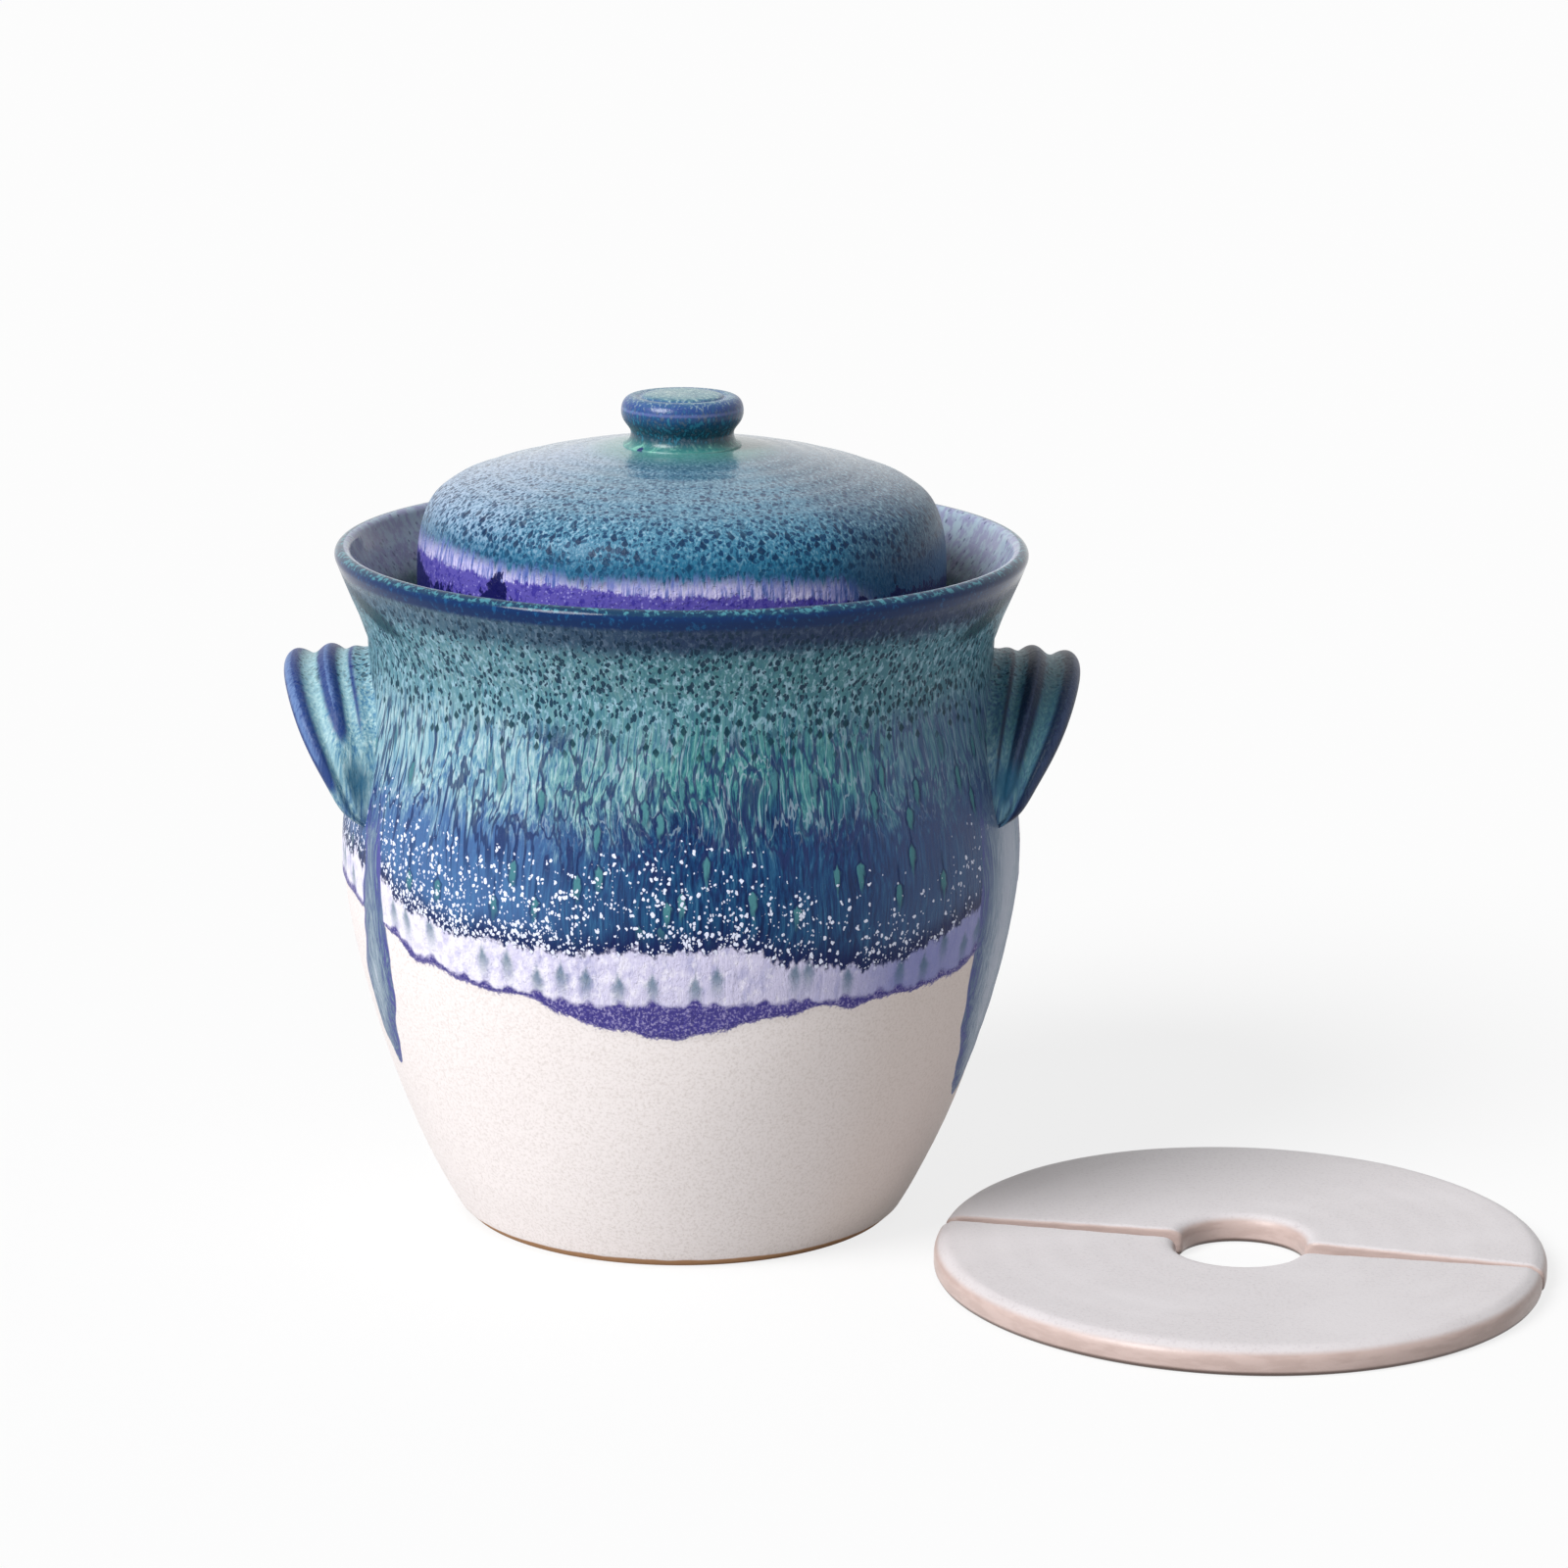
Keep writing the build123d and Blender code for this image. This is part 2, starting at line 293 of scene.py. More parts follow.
def gutterColor(tree, place, height):
    # Grey violet with teal clouds and dark freckles, greener where it pooled at the bottom
    c = gutterColors
    return coats(tree, c["glaze"], c, (
        ("cloud", runs(tree, place, 1.8, 2.6), 0.42, 0.62),
        ("freckle", spots(tree, place, 2.0, 1.5, 0.5, 1.6), 0, 1, 0.65),
        ("paleCloud", runs(tree, place, 0.9, 1.6), 0.54, 0.68, 0.6),
        ("pool", shifted(tree, height, (runs(tree, place, 6.0, 6.0), 10)), 201, 192)))


# Stoneware with a satin white glaze, dipped mouth down in a rutile blue glaze that ran in the kiln:
# teal with pale hairs where it is thick, cobalt lower down, lavender and violet where it thins out
crockColors = {
    "deepHairs": ((0.34, "#174463"), (0.43, "#2a6473"), (0.51, "#3f7d80"), (0.60, "#54918f"), (0.70, "#7ca8a8")),
    "paleHairs": ((0.34, "#48789c"), (0.43, "#6a95aa"), (0.51, "#84aab6"), (0.60, "#a0c0c6"), (0.70, "#c3d6dc")),
    "cobaltHairs": ((0.36, "#071f48"), (0.48, "#0f3663"), (0.58, "#1b4c72"), (0.70, "#336488")),
    "dripFill": ((0.0, "#4c4e94"), (0.16, "#4c6088"), (0.36, "#6c8298"), (0.70, "#92a4b4"), (1.0, "#b8c2d0")),
    # paintedShade, and the colours named for it below, are painted shade on the side away from the softbox
    "darkLine": "#1b2856", "paleLine": "#a7bccb", "leftCobalt": "#587eb4", "paintedShade": "#5a6e98",
    "neck": "#4a7c88", "neckPale": "#a3c6d8", "freckle": "#0a2a42", "mark": "#06303e", "crescent": "#083c48",
    "mint": "#4f8c91", "hood": "#0c2350", "navy": "#0d184c", "snow": "#dfe4f8",
    "band": "#cfcbe6", "paintedShadeBand": "#7880be", "bandGrain": "#f1eef8", "bandShade": "#a6a6cc",
    "bandDrop": "#42687e", "violet": "#413b84", "violetGrain": "#a8a0cc",
    "satinWhite": "#efe8e7", "paintedShadeWhite": "#dac8ba", "whiteGrain": "#cdc3bf", "bareClay": "#b48a66",
    "underLipGlazeAndShade": "#15174a", "lip": "#012858", "lipStreak": "#0e4a78", "lipTop": "#4a8a98", "lipMark": "#0a2f50",
    # crest: glaze broken paler over the handles' ridges, with painted highlight; crestFlankPoolAndShade: dark glaze
    # on their flanks, with painted shade
    "crestFlankPoolAndShade": "#172c72", "paintedShadeCrestFlank": "#101a3a", "crest": "#6682b2", "paintedShadeCrest": "#3a4868",
    "furrow": "#a6c8cc", "paintedShadeFurrow": "#46727a", "thumb": "#2a5c78",
}
# Heights round which a pattern shows: its middle, how far it is whole and how far it reaches
crockZones = {
    "paleLines": (162, 10, 25), "darkLines": (154, 16, 32), "freckles": (191, 13, 24), "marks": (175, 5, 12),
    "mintDrops": (140, 16, 32),
}
drawnRadius = {"crock": 104.0, "lid": 78.0}  # where a pattern on the unrolled side has its true width
crockFields = ("overLine", "overBand", "overViolet", "inDrip", "pale", "paintedShade", "inRim", "crescent", "strap",
               "crest", "furrow", "thumb")


def crockGlaze():
    material, tree, place = newMaterial("rutileBlueGlaze")
    c, zones = crockColors, crockZones
    field = readFields(tree, crockFields)
    height = addNode(tree, "SeparateXYZ", (place,))[2]
    onBody = addNode(tree, "Math", (1.0, field["strap"]), operation="SUBTRACT")[0]
    lean = bent(tree, place, 6.0, 12.0)
    shaky = bent(tree, place, 1.4, 1.6)
    torn = bent(tree, place, 1.5, 0.8)
    flat = unrolled(tree, shaky, drawnRadius["crock"])
    hair = runs(tree, lean, 0.46, 10.0, 4.0, 0.62)
    lock = runs(tree, lean, 2.4, 22.0, 2.0)
    patch = runs(tree, place, 14.0, 20.0, 2.0)
    grain = runs(tree, place, 0.45, 0.45, 2.0, 0.7)

    def bodyZone(name, most):
        # Shown on the thrown body, not on the handles
        most = addNode(tree, "Math", (onBody, most), operation="MULTIPLY")[0]
        return around(tree, height, *zones[name], most)

    # Teal hairs, deep or pale, over cobalt, parted by dark and pale lines
    strand = shifted(tree, hair, (lock, 0.24), (patch, 0.10))
    deep, pale, cobalt = [addNode(tree, "ValToRGB", (strand,), stops=c[name])[0]
                          for name in ("deepHairs", "paleHairs", "cobaltHairs")]
    # Paler on the left: partly the glaze's own paler hairs and cobalt, partly painted sheen towards the softbox
    cobalt = coat(tree, cobalt, c["leftCobalt"], field["pale"], 0.2, 0.9, 0.55)
    color = coat(tree, deep, pale, shifted(tree, field["pale"], (patch, 0.9)), 0.05, 0.95)
    level = addNode(tree, "Math", (field["pale"], 3.0, height), operation="MULTIPLY_ADD")[0]
    level = addNode(tree, "Math", (field["strap"], 14.0, level), operation="MULTIPLY_ADD")[0]
    color = coat(tree, color, cobalt, shifted(tree, level, (lock, 40), (hair, 24)), 162, 140)
    color = coats(tree, color, c, (
        ("paleLine", streaks(tree, lean, 1.3, 20.0, 0.03), 0, 1, bodyZone("paleLines", 0.45)),
        ("darkLine", streaks(tree, lean, 1.9, 30.0, 0.05), 0, 1, bodyZone("darkLines", 0.8)),
        # Painted shade over the side away from the softbox
        ("paintedShade", field["paintedShade"], 0.1, 1.0, 0.47)))
    # Smoother and greener at the neck, full of dark freckles, with a row of large marks below them, and dark under
    # the lip: partly the glaze's own navy, partly painted shade
    neck = addNode(tree, "MapRange", (height, 166, 184, 0.0, 0.65), interpolation_type="SMOOTHSTEP")[0]
    # Less of the painted shade under the lip on the left, under the painted sheen
    shade = addNode(tree, "MapRange", (field["pale"], 0.2, 0.95, 0.85, 0.55))[0]
    freckle = spots(tree, torn, 1.4, 1.5, 0.7, 1.8)
    pear = drops(tree, flat, 4.4, 0.26, 1.3, 0.6, hair)[0]
    color = coats(tree, color, c, (
        ("neck", neck, 0, 1),
        ("neckPale", runs(tree, shaky, 0.6, 1.3), 0.50, 0.62, neck),
        ("underLipGlazeAndShade", shifted(tree, height, (lock, 6), (hair, 9)), 196.0, 204.0, shade),
        ("crescent", shifted(tree, field["crescent"], (hair, 0.9)), 0.15, 0.6, 0.9),
        ("freckle", freckle, 0, 1, around(tree, height, *zones["freckles"], 0.9)),
        ("mark", pear, 0.0, 0.6, bodyZone("marks", 0.9))))
    # Mint drops with dark hoods, low on the shoulder
    head, hood = drops(tree, flat, 6.6, 0.22, 3.7, 0.5, hair, 0.12)
    dropZone = bodyZone("mintDrops", addNode(tree, "MapRange", (field["pale"], 0.3, 1.0, 0.75, 0.65))[0])
    color = coats(tree, color, c, (
        ("hood", hood, 0.1, 0.9, dropZone),
        ("mint", shifted(tree, head, (hair, 0.9)), 0.1, 1.0, dropZone)))
    # Navy and a flurry of white specks over the lavender band
    edge = shifted(tree, field["overBand"], (lock, 9))
    thick = addNode(tree, "MapRange", (patch, 0.38, 0.58, 0.35, 1.25))[0]
    # Fewer white specks under the painted shade away from the softbox
    thick = addNode(tree, "MapRange", (field["paintedShade"], 0.2, 1.0, thick, 0.30))[0]
    share = addNode(tree, "MapRange", (field["pale"], 0.2, 0.5, 0.7, 1.0))[0]
    thick = addNode(tree, "Math", (thick, share), operation="MULTIPLY")[0]
    crowd = addNode(tree, "MapRange", (edge, 33, 10, 0.0, 0.45))[0]
    closer = addNode(tree, "MapRange", (edge, 9, 0.5, 0.0, 0.6))[0]
    crowd = addNode(tree, "Math", (crowd, closer), operation="ADD")[0]
    crowd = addNode(tree, "Math", (crowd, thick), operation="MULTIPLY")[0]
    snow = spots(tree, torn, 1.25, 1.35, crowd, 1.25)
    # The finest specks are half this size, too fine to draw
    fewer = addNode(tree, "Math", (crowd, 0.5), operation="MULTIPLY")[0]
    dust = spots(tree, shaky, 0.85, 0.8, fewer, 1.25)
    dust = addNode(tree, "Math", (dust, 0.7), operation="MULTIPLY")[0]
    snow = addNode(tree, "Math", (snow, dust), operation="MAXIMUM")[0]
    color = coats(tree, color, c, (("navy", edge, 10, 1, 0.9), ("snow", snow, 0, 1)))
    # Lavender band, cloudy, with grey green drops
    along = addNode(tree, "SeparateXYZ", (flat,))[0]
    bandDrop, nearDrop = rowOfDrops(tree, along, field["overViolet"], 9.5, grain)
    band = coats(tree, c["band"], c, (
        ("bandShade", runs(tree, shaky, 2.2, 6.0), 0.48, 0.68, 0.75),
        ("bandGrain", shifted(tree, runs(tree, shaky, 1.4, 2.0), (field["pale"], 0.3)), 0.40, 0.70, 0.8),
        ("bandShade", grain, 0.56, 0.76, 0.5),
        # Painted shade over the band away from the softbox
        ("paintedShadeBand", field["paintedShade"], 0.15, 0.8, 0.8),
        ("bandDrop", bandDrop, 0.0, 1.0, 0.85)))
    color = coat(tree, color, band, shifted(tree, edge, (runs(tree, shaky, 0.9, 1.3), 7)), 1.0, -1.2)
    # Violet pool, grainy, and the line where the dip ended
    scallop = addNode(tree, "Math", (nearDrop, -1.5, field["overViolet"]), operation="MULTIPLY_ADD")[0]
    violet = coat(tree, c["violet"], c["violetGrain"], grain, 0.46, 0.74, 0.9)
    color = coat(tree, color, violet, shifted(tree, scallop, (runs(tree, place, 1.3, 1.0), 3.0)), 1.2, -0.8)
    overLine = shifted(tree, field["overLine"], (runs(tree, place, 5.0, 4.0, 2.0), 4.0),
                       (runs(tree, place, 2.2, 2.2), 1.6), (grain, 3.2))
    color = coat(tree, color, violet, overLine, 1.7, 0.7)
    # Long drips below the handles' feet
    inDrip = shifted(tree, field["inDrip"], (runs(tree, place, 3.0, 8.0), 1.4))
    dripShade = addNode(tree, "Math", (inDrip, 16), operation="DIVIDE")[0]
    fill = addNode(tree, "ValToRGB", (shifted(tree, dripShade, (hair, 1.9)),), stops=c["dripFill"])[0]
    # Painted shade over the drips away from the softbox
    fill = coat(tree, fill, c["paintedShade"], field["paintedShade"], 0.4, 1.0, 0.3)
    dripZone = addNode(tree, "MapRange", (height, 150, 128, 0.0, 1.0))[0]
    dripMask = addNode(tree, "MapRange", (inDrip, -0.3, 0.3, 0.0, dripZone))[0]
    color = coat(tree, color, fill, dripMask, 0, 1)
    # Ridges, furrows and the thumb's mark on the handles
    # Each colour with a painted-shade copy, which the right handle takes
    furrow, crestFlankPoolAndShade, crest = [coat(tree, c[lit], c[inShade], field["paintedShade"], 0.1, 0.7) for lit, inShade in (
        ("furrow", "paintedShadeFurrow"), ("crestFlankPoolAndShade", "paintedShadeCrestFlank"), ("crest", "paintedShadeCrest"))]
    onCrest = shifted(tree, field["crest"], (hair, 0.4))
    color = coat(tree, color, furrow, field["furrow"], 0.2, 0.9, 0.45)
    # Dark glaze with painted shade on the ridges' flanks, and the glaze broken paler with a painted highlight on
    # their tops
    color = coat(tree, color, crestFlankPoolAndShade, onCrest, 0.15, 0.5, 0.9)
    color = coat(tree, color, crest, onCrest, 0.80, 1.02, 0.85)
    color = coat(tree, color, c["thumb"], shifted(tree, field["thumb"], (lock, 0.5)), 0.2, 0.8, 0.8)
    # Cobalt lip, freckled teal on its top, and the gutter's glaze inside the rim
    lip = coat(tree, c["lip"], c["lipStreak"], runs(tree, shaky, 0.7, 0.9), 0.54, 0.68)
    lipTop = coat(tree, c["lipTop"], c["lipMark"], runs(tree, place, 0.9, 0.9), 0.40, 0.50, 0.95)
    color = coat(tree, color, lip, shifted(tree, height, (hair, 2)), 207.2, 208.8)
    color = coat(tree, color, lipTop, shifted(tree, height, (grain, 2.4)), 212.0, 212.9, 0.85)
    color = coat(tree, color, gutterColor(tree, place, height), field["inRim"], 0.3, 0.8)
    # Satin white below the line, and bare clay at the foot
    glazed = addNode(tree, "MapRange", (overLine, -0.7, 0.6, dripMask, 1.0), interpolation_type="SMOOTHSTEP")[0]
    white = coats(tree, c["satinWhite"], c, (
        ("whiteGrain", grain, 0.42, 0.74, 0.6),
        # Warm painted shade over the white away from the softbox
        ("paintedShadeWhite", field["paintedShade"], 0.0, 1.0, 0.45)))
    color = coat(tree, white, color, glazed, 0, 1)
    foot = shifted(tree, height, (runs(tree, place, 5.0, 5.0), 1.2))
    color = coat(tree, color, c["bareClay"], foot, 3.0, 2.3)
    # Satin below, semigloss above, glossiest on the lip
    gloss = addNode(tree, "MapRange", (glazed, 0, 1, 0.52, 0.36))[0]
    gloss = addNode(tree, "MapRange", (height, 205, 209, gloss, 0.12))[0]
    gloss = addNode(tree, "MapRange", (foot, 2.3, 3.0, 0.85, gloss))[0]
    relief = shifted(tree, hair, (snow, 0.3), (grain, 0.16), (head, 0.6), (freckle, -0.25))
    relief = addNode(tree, "MapRange", (glazed, 0, 1, shifted(tree, 0.5, (grain, 0.2)), relief))[0]
    relief = addNode(tree, "MapRange", (height, 203, 208, relief, 0.5))[0]
    shine = addNode(tree, "MapRange", (height, 203, 208, 0.14, 0.18))[0]
    return finishGlaze(material, tree, color, gloss, relief, 0.22, shine)


# The same glaze on the lid: freckled on the crown, drawn out at the side, violet where it pooled
lidColors = {
    "heights": ((0.0, "#1f2f70"), (0.20, "#20557c"), (0.40, "#2a6b8a"), (0.62, "#4c7e98"), (0.82, "#5b849c"),
                (1.0, "#4a7286")),
    "bandHairs": ((0.36, "#4f64a4"), (0.45, "#8188c2"), (0.53, "#b4b0dc"), (0.64, "#ddd8f2")),
    "mark": "#0e3458", "spot": "#072446", "pale": "#8fb4c6", "frostAndSheen": "#b4c0dc", "nearBand": "#1d5a7c",
    "violet": "#5a52a6", "violetGrain": "#a49edc", "violetDeep": "#3f3894", "navy": "#0c104a",
    "paintedShade": "#415064", "knobReflection": "#4f9088", "bareSkirt": "#b9a48f",
}
lidFields = ("overBand", "overViolet", "overNavy", "bandStrength", "pale", "paintedShade")


def lidGlaze():
    material, tree, place = newMaterial("rutileBlueGlazeLid")
    c = lidColors
    field = readFields(tree, lidFields)
    axes = addNode(tree, "SeparateXYZ", (place,))
    height = axes[2]
    level = addNode(tree, "CombineXYZ", (axes[0], axes[1]))[0]
    radius = addNode(tree, "VectorMath", (level,), operation="LENGTH")["Value"]
    outward = addNode(tree, "VectorMath", (level,), operation="NORMALIZE")[0]
    # Round the wheel's axis and downhill, so that the hairs run outwards from the knob
    downhill = addNode(tree, "Math", (height, radius), operation="SUBTRACT")[0]
    downhill = addNode(tree, "CombineXYZ", {2: downhill})[0]
    scale = (drawnRadius["lid"], drawnRadius["lid"], 1)
    wheel = addNode(tree, "VectorMath", (outward, scale, downhill), operation="MULTIPLY_ADD")[0]
    shaky = bent(tree, place, 1.8, 2.2)
    hair = runs(tree, wheel, 0.6, 6.0, 4.0, 0.66)
    patch = runs(tree, place, 12.0, 12.0, 2.0)
    share = addNode(tree, "MapRange", (shifted(tree, height, (hair, 10)), 206, 246))[0]
    color = addNode(tree, "ValToRGB", (share,), stops=c["heights"])[0]
    # Pale and dark marks about a millimetre across, finer and fainter on the crown
    fleck = runs(tree, shaky, 0.48, 0.7, 3.0, 0.55)
    flecks = addNode(tree, "MapRange", (height, 228, 240, 0.8, 0.6))[0]
    paleFlecks = addNode(tree, "MapRange", (height, 218, 232, 0.15, 0.55))[0]
    # Pale frost high on the side, with painted reflection of the softbox where the crown is pale on the left
    frostAndSheen = addNode(tree, "MapRange", (height, 216, 230, 0.0, 0.9))[0]
    freckle = spots(tree, shaky, 1.8, 1.8, 0.66, 1.1)
    spot = drops(tree, unrolled(tree, shaky, drawnRadius["lid"]), 4.6, 0.28, 0.9, 0.6, fleck)[0]
    color = coats(tree, color, c, (
        # Painted shade over the side away from the softbox
        ("paintedShade", field["paintedShade"], 0.2, 1.0, 0.6),
        ("frostAndSheen", shifted(tree, field["pale"], (fleck, 2.2)), 0.3, 1.5, frostAndSheen),
        ("pale", shifted(tree, fleck, (patch, 0.12)), 0.54, 0.64, paleFlecks),
        ("mark", fleck, 0.47, 0.39, flecks),
        ("mark", freckle, 0, 1, around(tree, height, 227, 11, 17, 0.9)),
        ("spot", spot, 0.0, 0.6, around(tree, height, 224, 5, 11, 0.9)),
        # Painted reflection of the knob, greener, on the crown round its foot
        ("knobReflection", shifted(tree, radius, (hair, 9)), 34, 20, 0.7)))
    # Teal and lavender hairs meet over the band
    combed = shifted(tree, field["overBand"], (hair, 13), (patch, 4))
    bandSpot = spots(tree, wheel, 2.4, 1.6, 0.45, 2.6)
    color = coats(tree, color, c, (
        ("nearBand", combed, 8, 1, 0.5),
        ("spot", bandSpot, 0, 1, around(tree, combed, 1, 1, 5, 0.9))))
    band = addNode(tree, "ValToRGB", (shifted(tree, hair, (patch, 0.15)),), stops=c["bandHairs"])[0]
    bandShown = addNode(tree, "MapRange", (combed, 2.4, -2.6, 0.0, field["bandStrength"]))[0]
    color = coat(tree, color, band, bandShown, 0, 1)
    # Violet pool with a ragged, freckled top, and navy where it is thickest
    ragged = shifted(tree, field["overViolet"], (runs(tree, shaky, 0.8, 1.1), 6), (hair, 2))
    violet = coats(tree, c["violet"], c, (
        ("violetGrain", spots(tree, place, 1.1, 0.8, 0.5), 0, 1, 0.6),
        ("violetDeep", runs(tree, place, 1.1, 1.1), 0.50, 0.62)))
    violetShown = addNode(tree, "MapRange", (ragged, 0.6, -0.6, 0.0, field["bandStrength"]))[0]
    color = coat(tree, color, violet, violetShown, 0, 1)
    overNavy = shifted(tree, field["overNavy"], (runs(tree, shaky, 1.0, 1.6), 13), (runs(tree, shaky, 3.0, 3.0), 9))
    color = coats(tree, color, c, (("navy", overNavy, 0.6, -0.6, 0.95), ("bareSkirt", height, 190.4, 189.6)))
    # The crown mirrors the knob, the side is broken up by the marks
    gloss = addNode(tree, "MapRange", (height, 228, 241, 0.34, 0.10))[0]
    relief = shifted(tree, fleck, (freckle, -0.5), (hair, 0.3))
    relief = addNode(tree, "MapRange", (height, 230, 242, relief, shifted(tree, 0.5, (relief, 0.3))))[0]
    shine = addNode(tree, "MapRange", (height, 228, 240, 0.1, 0.5))[0]
    return finishGlaze(material, tree, color, gloss, relief, 0.2, shine)


# The same glaze on the knob: cobalt, with a painted lavender highlight round the bead's edge, pooled green at the
# foot
knobColors = {
    "heights": ((0.0, "#6c9a9c"), (0.07, "#3f7f7c"), (0.14, "#1e5c62"), (0.22, "#0f3f50"), (0.38, "#0a3a54"),
                (0.54, "#0a4468"), (0.68, "#103f78"), (0.79, "#1f3f80"), (0.87, "#2c5488"), (0.92, "#4f8290"),
                (1.0, "#86a4a4")),
    "worm": "#06204c", "paleWorm": "#2c7c96", "beadHighlight": "#8c90cc", "buttonPale": "#a3bdb8",
    "buttonMark": "#2b5a72", "pool": "#6fae9f", "poolBlot": "#141f60",
}


def knobGlaze():
    material, tree, place = newMaterial("rutileBlueGlazeKnob")
    c = knobColors
    height = addNode(tree, "SeparateXYZ", (place,))[2]
    shaky = bent(tree, place, 1.2, 1.6)
    wave = shifted(tree, height, (runs(tree, place, 2.6, 2.6), 2.2))
    share = addNode(tree, "MapRange", (wave, 244, 262))[0]
    color = addNode(tree, "ValToRGB", (share,), stops=c["heights"])[0]
    worm = runs(tree, shaky, 0.55, 1.1, 3.0, 0.6)
    side = around(tree, height, 252.5, 3.5, 6.5, 0.75)
    # Painted highlight: a thin lavender line round the bead's upper edge
    edge = around(tree, shifted(tree, height, (worm, 1.4)), 256.4, 0.2, 0.8, 0.35)
    button = addNode(tree, "MapRange", (height, 257.6, 260, 0.15, 0.7))[0]
    pool = addNode(tree, "MapRange", (height, 247.2, 246.2, 0.0, 0.95))[0]
    color = coats(tree, color, c, (
        ("worm", worm, 0.52, 0.62, side),
        ("paleWorm", worm, 0.46, 0.38, side),
        ("beadHighlight", edge, 0, 1),
        ("buttonPale", worm, 0.52, 0.64, button),
        ("buttonMark", worm, 0.46, 0.38, button),
        ("pool", runs(tree, shaky, 1.6, 1.6), 0.52, 0.66, pool),
        ("poolBlot", spots(tree, place, 6.5, 5.0, 0.35), 0, 1, pool)))
    gloss = addNode(tree, "MapRange", (runs(tree, place, 4.0, 4.0), 0.3, 0.7, 0.22, 0.32))[0]
    return finishGlaze(material, tree, color, gloss, worm, 0.10)


def gutterGlaze():
    # The dip as it pooled in the gutter, duller than outside
    material, tree, place = newMaterial("rutileBlueGlazeGutter")
    height = addNode(tree, "SeparateXYZ", (place,))[2]
    grain = runs(tree, place, 1.0, 1.4)
    gloss = addNode(tree, "MapRange", (grain, 0.3, 0.7, 0.24, 0.34))[0]
    return finishGlaze(material, tree, gutterColor(tree, place, height), gloss, grain, 0.15)


plainColors = {"liner": "#e2dad4", "linerGrain": "#c6baaf", "clay": "#bb9270", "clayGrit": "#94694a"}


def linerGlaze():
    # Satin white glaze with a fine iron grain
    material, tree, place = newMaterial("satinWhiteLinerGlaze")
    grain = runs(tree, place, 0.6, 0.6, 3.0, 0.7)
    color = coat(tree, plainColors["liner"], plainColors["linerGrain"], grain, 0.5, 0.75, 0.6)
    gloss = addNode(tree, "MapRange", (grain, 0.3, 0.7, 0.38, 0.5))[0]
    return finishGlaze(material, tree, color, gloss, grain, 0.12)


def bareClay():
    # Unglazed stoneware, toasted in the kiln and gritty
    material, tree, place = newMaterial("bareStonewareClay")
    grit = runs(tree, place, 0.8, 0.8, 4.0, 0.7)
    color = coat(tree, plainColors["clay"], plainColors["clayGrit"], grit, 0.45, 0.7)
    gloss = addNode(tree, "MapRange", (grit, 0.3, 0.7, 0.8, 0.92))[0]
    return finishGlaze(material, tree, color, gloss, grit, 0.25)


weightColors = {
    "top": "#cbc6c8", "topGrain": "#b2abae", "topPatch": "#d5d1d3", "side": "#bca8a2", "sideStreak": "#a9948d",
    "bareEdgeAndContactShadow": "#4c382f",
}


def weightGlaze():
    # Satin pale grey glaze, thin and pinkish on the walls, where the warm clay shows through
    material, tree, place = newMaterial("satinGreyGlaze")
    c = weightColors
    height = addNode(tree, "SeparateXYZ", (place,))[2]
    upward = addNode(tree, "SeparateXYZ", (addNode(tree, "NewGeometry")["Normal"],))[2]
    grain = runs(tree, place, 0.55, 0.55, 3.0, 0.7)
    patch = runs(tree, place, 18.0, 18.0, 2.0)
    top = coats(tree, c["top"], c, (("topGrain", grain, 0.48, 0.74, 0.6), ("topPatch", patch, 0.4, 0.7, 0.5)))
    side = coat(tree, c["side"], c["sideStreak"], runs(tree, place, 6.0, 1.4), 0.42, 0.62, 0.5)
    color = coat(tree, top, side, upward, 0.90, 0.45)
    # Darker at the bottom edge: partly the bare brown clay there, partly painted contact shadow
    color = coat(tree, color, c["bareEdgeAndContactShadow"], shifted(tree, height, (patch, 0.6)), 2.1, 1.0, 0.9)
    gloss = addNode(tree, "MapRange", (patch, 0.3, 0.7, 0.30, 0.42))[0]
    return finishGlaze(material, tree, color, gloss, grain, 0.07)


glazes = {"crock": crockGlaze(), "lid": lidGlaze(), "knob": knobGlaze(), "gutter": gutterGlaze(),
          "liner": linerGlaze(), "clay": bareClay(), "weight": weightGlaze()}
print("glazes made")

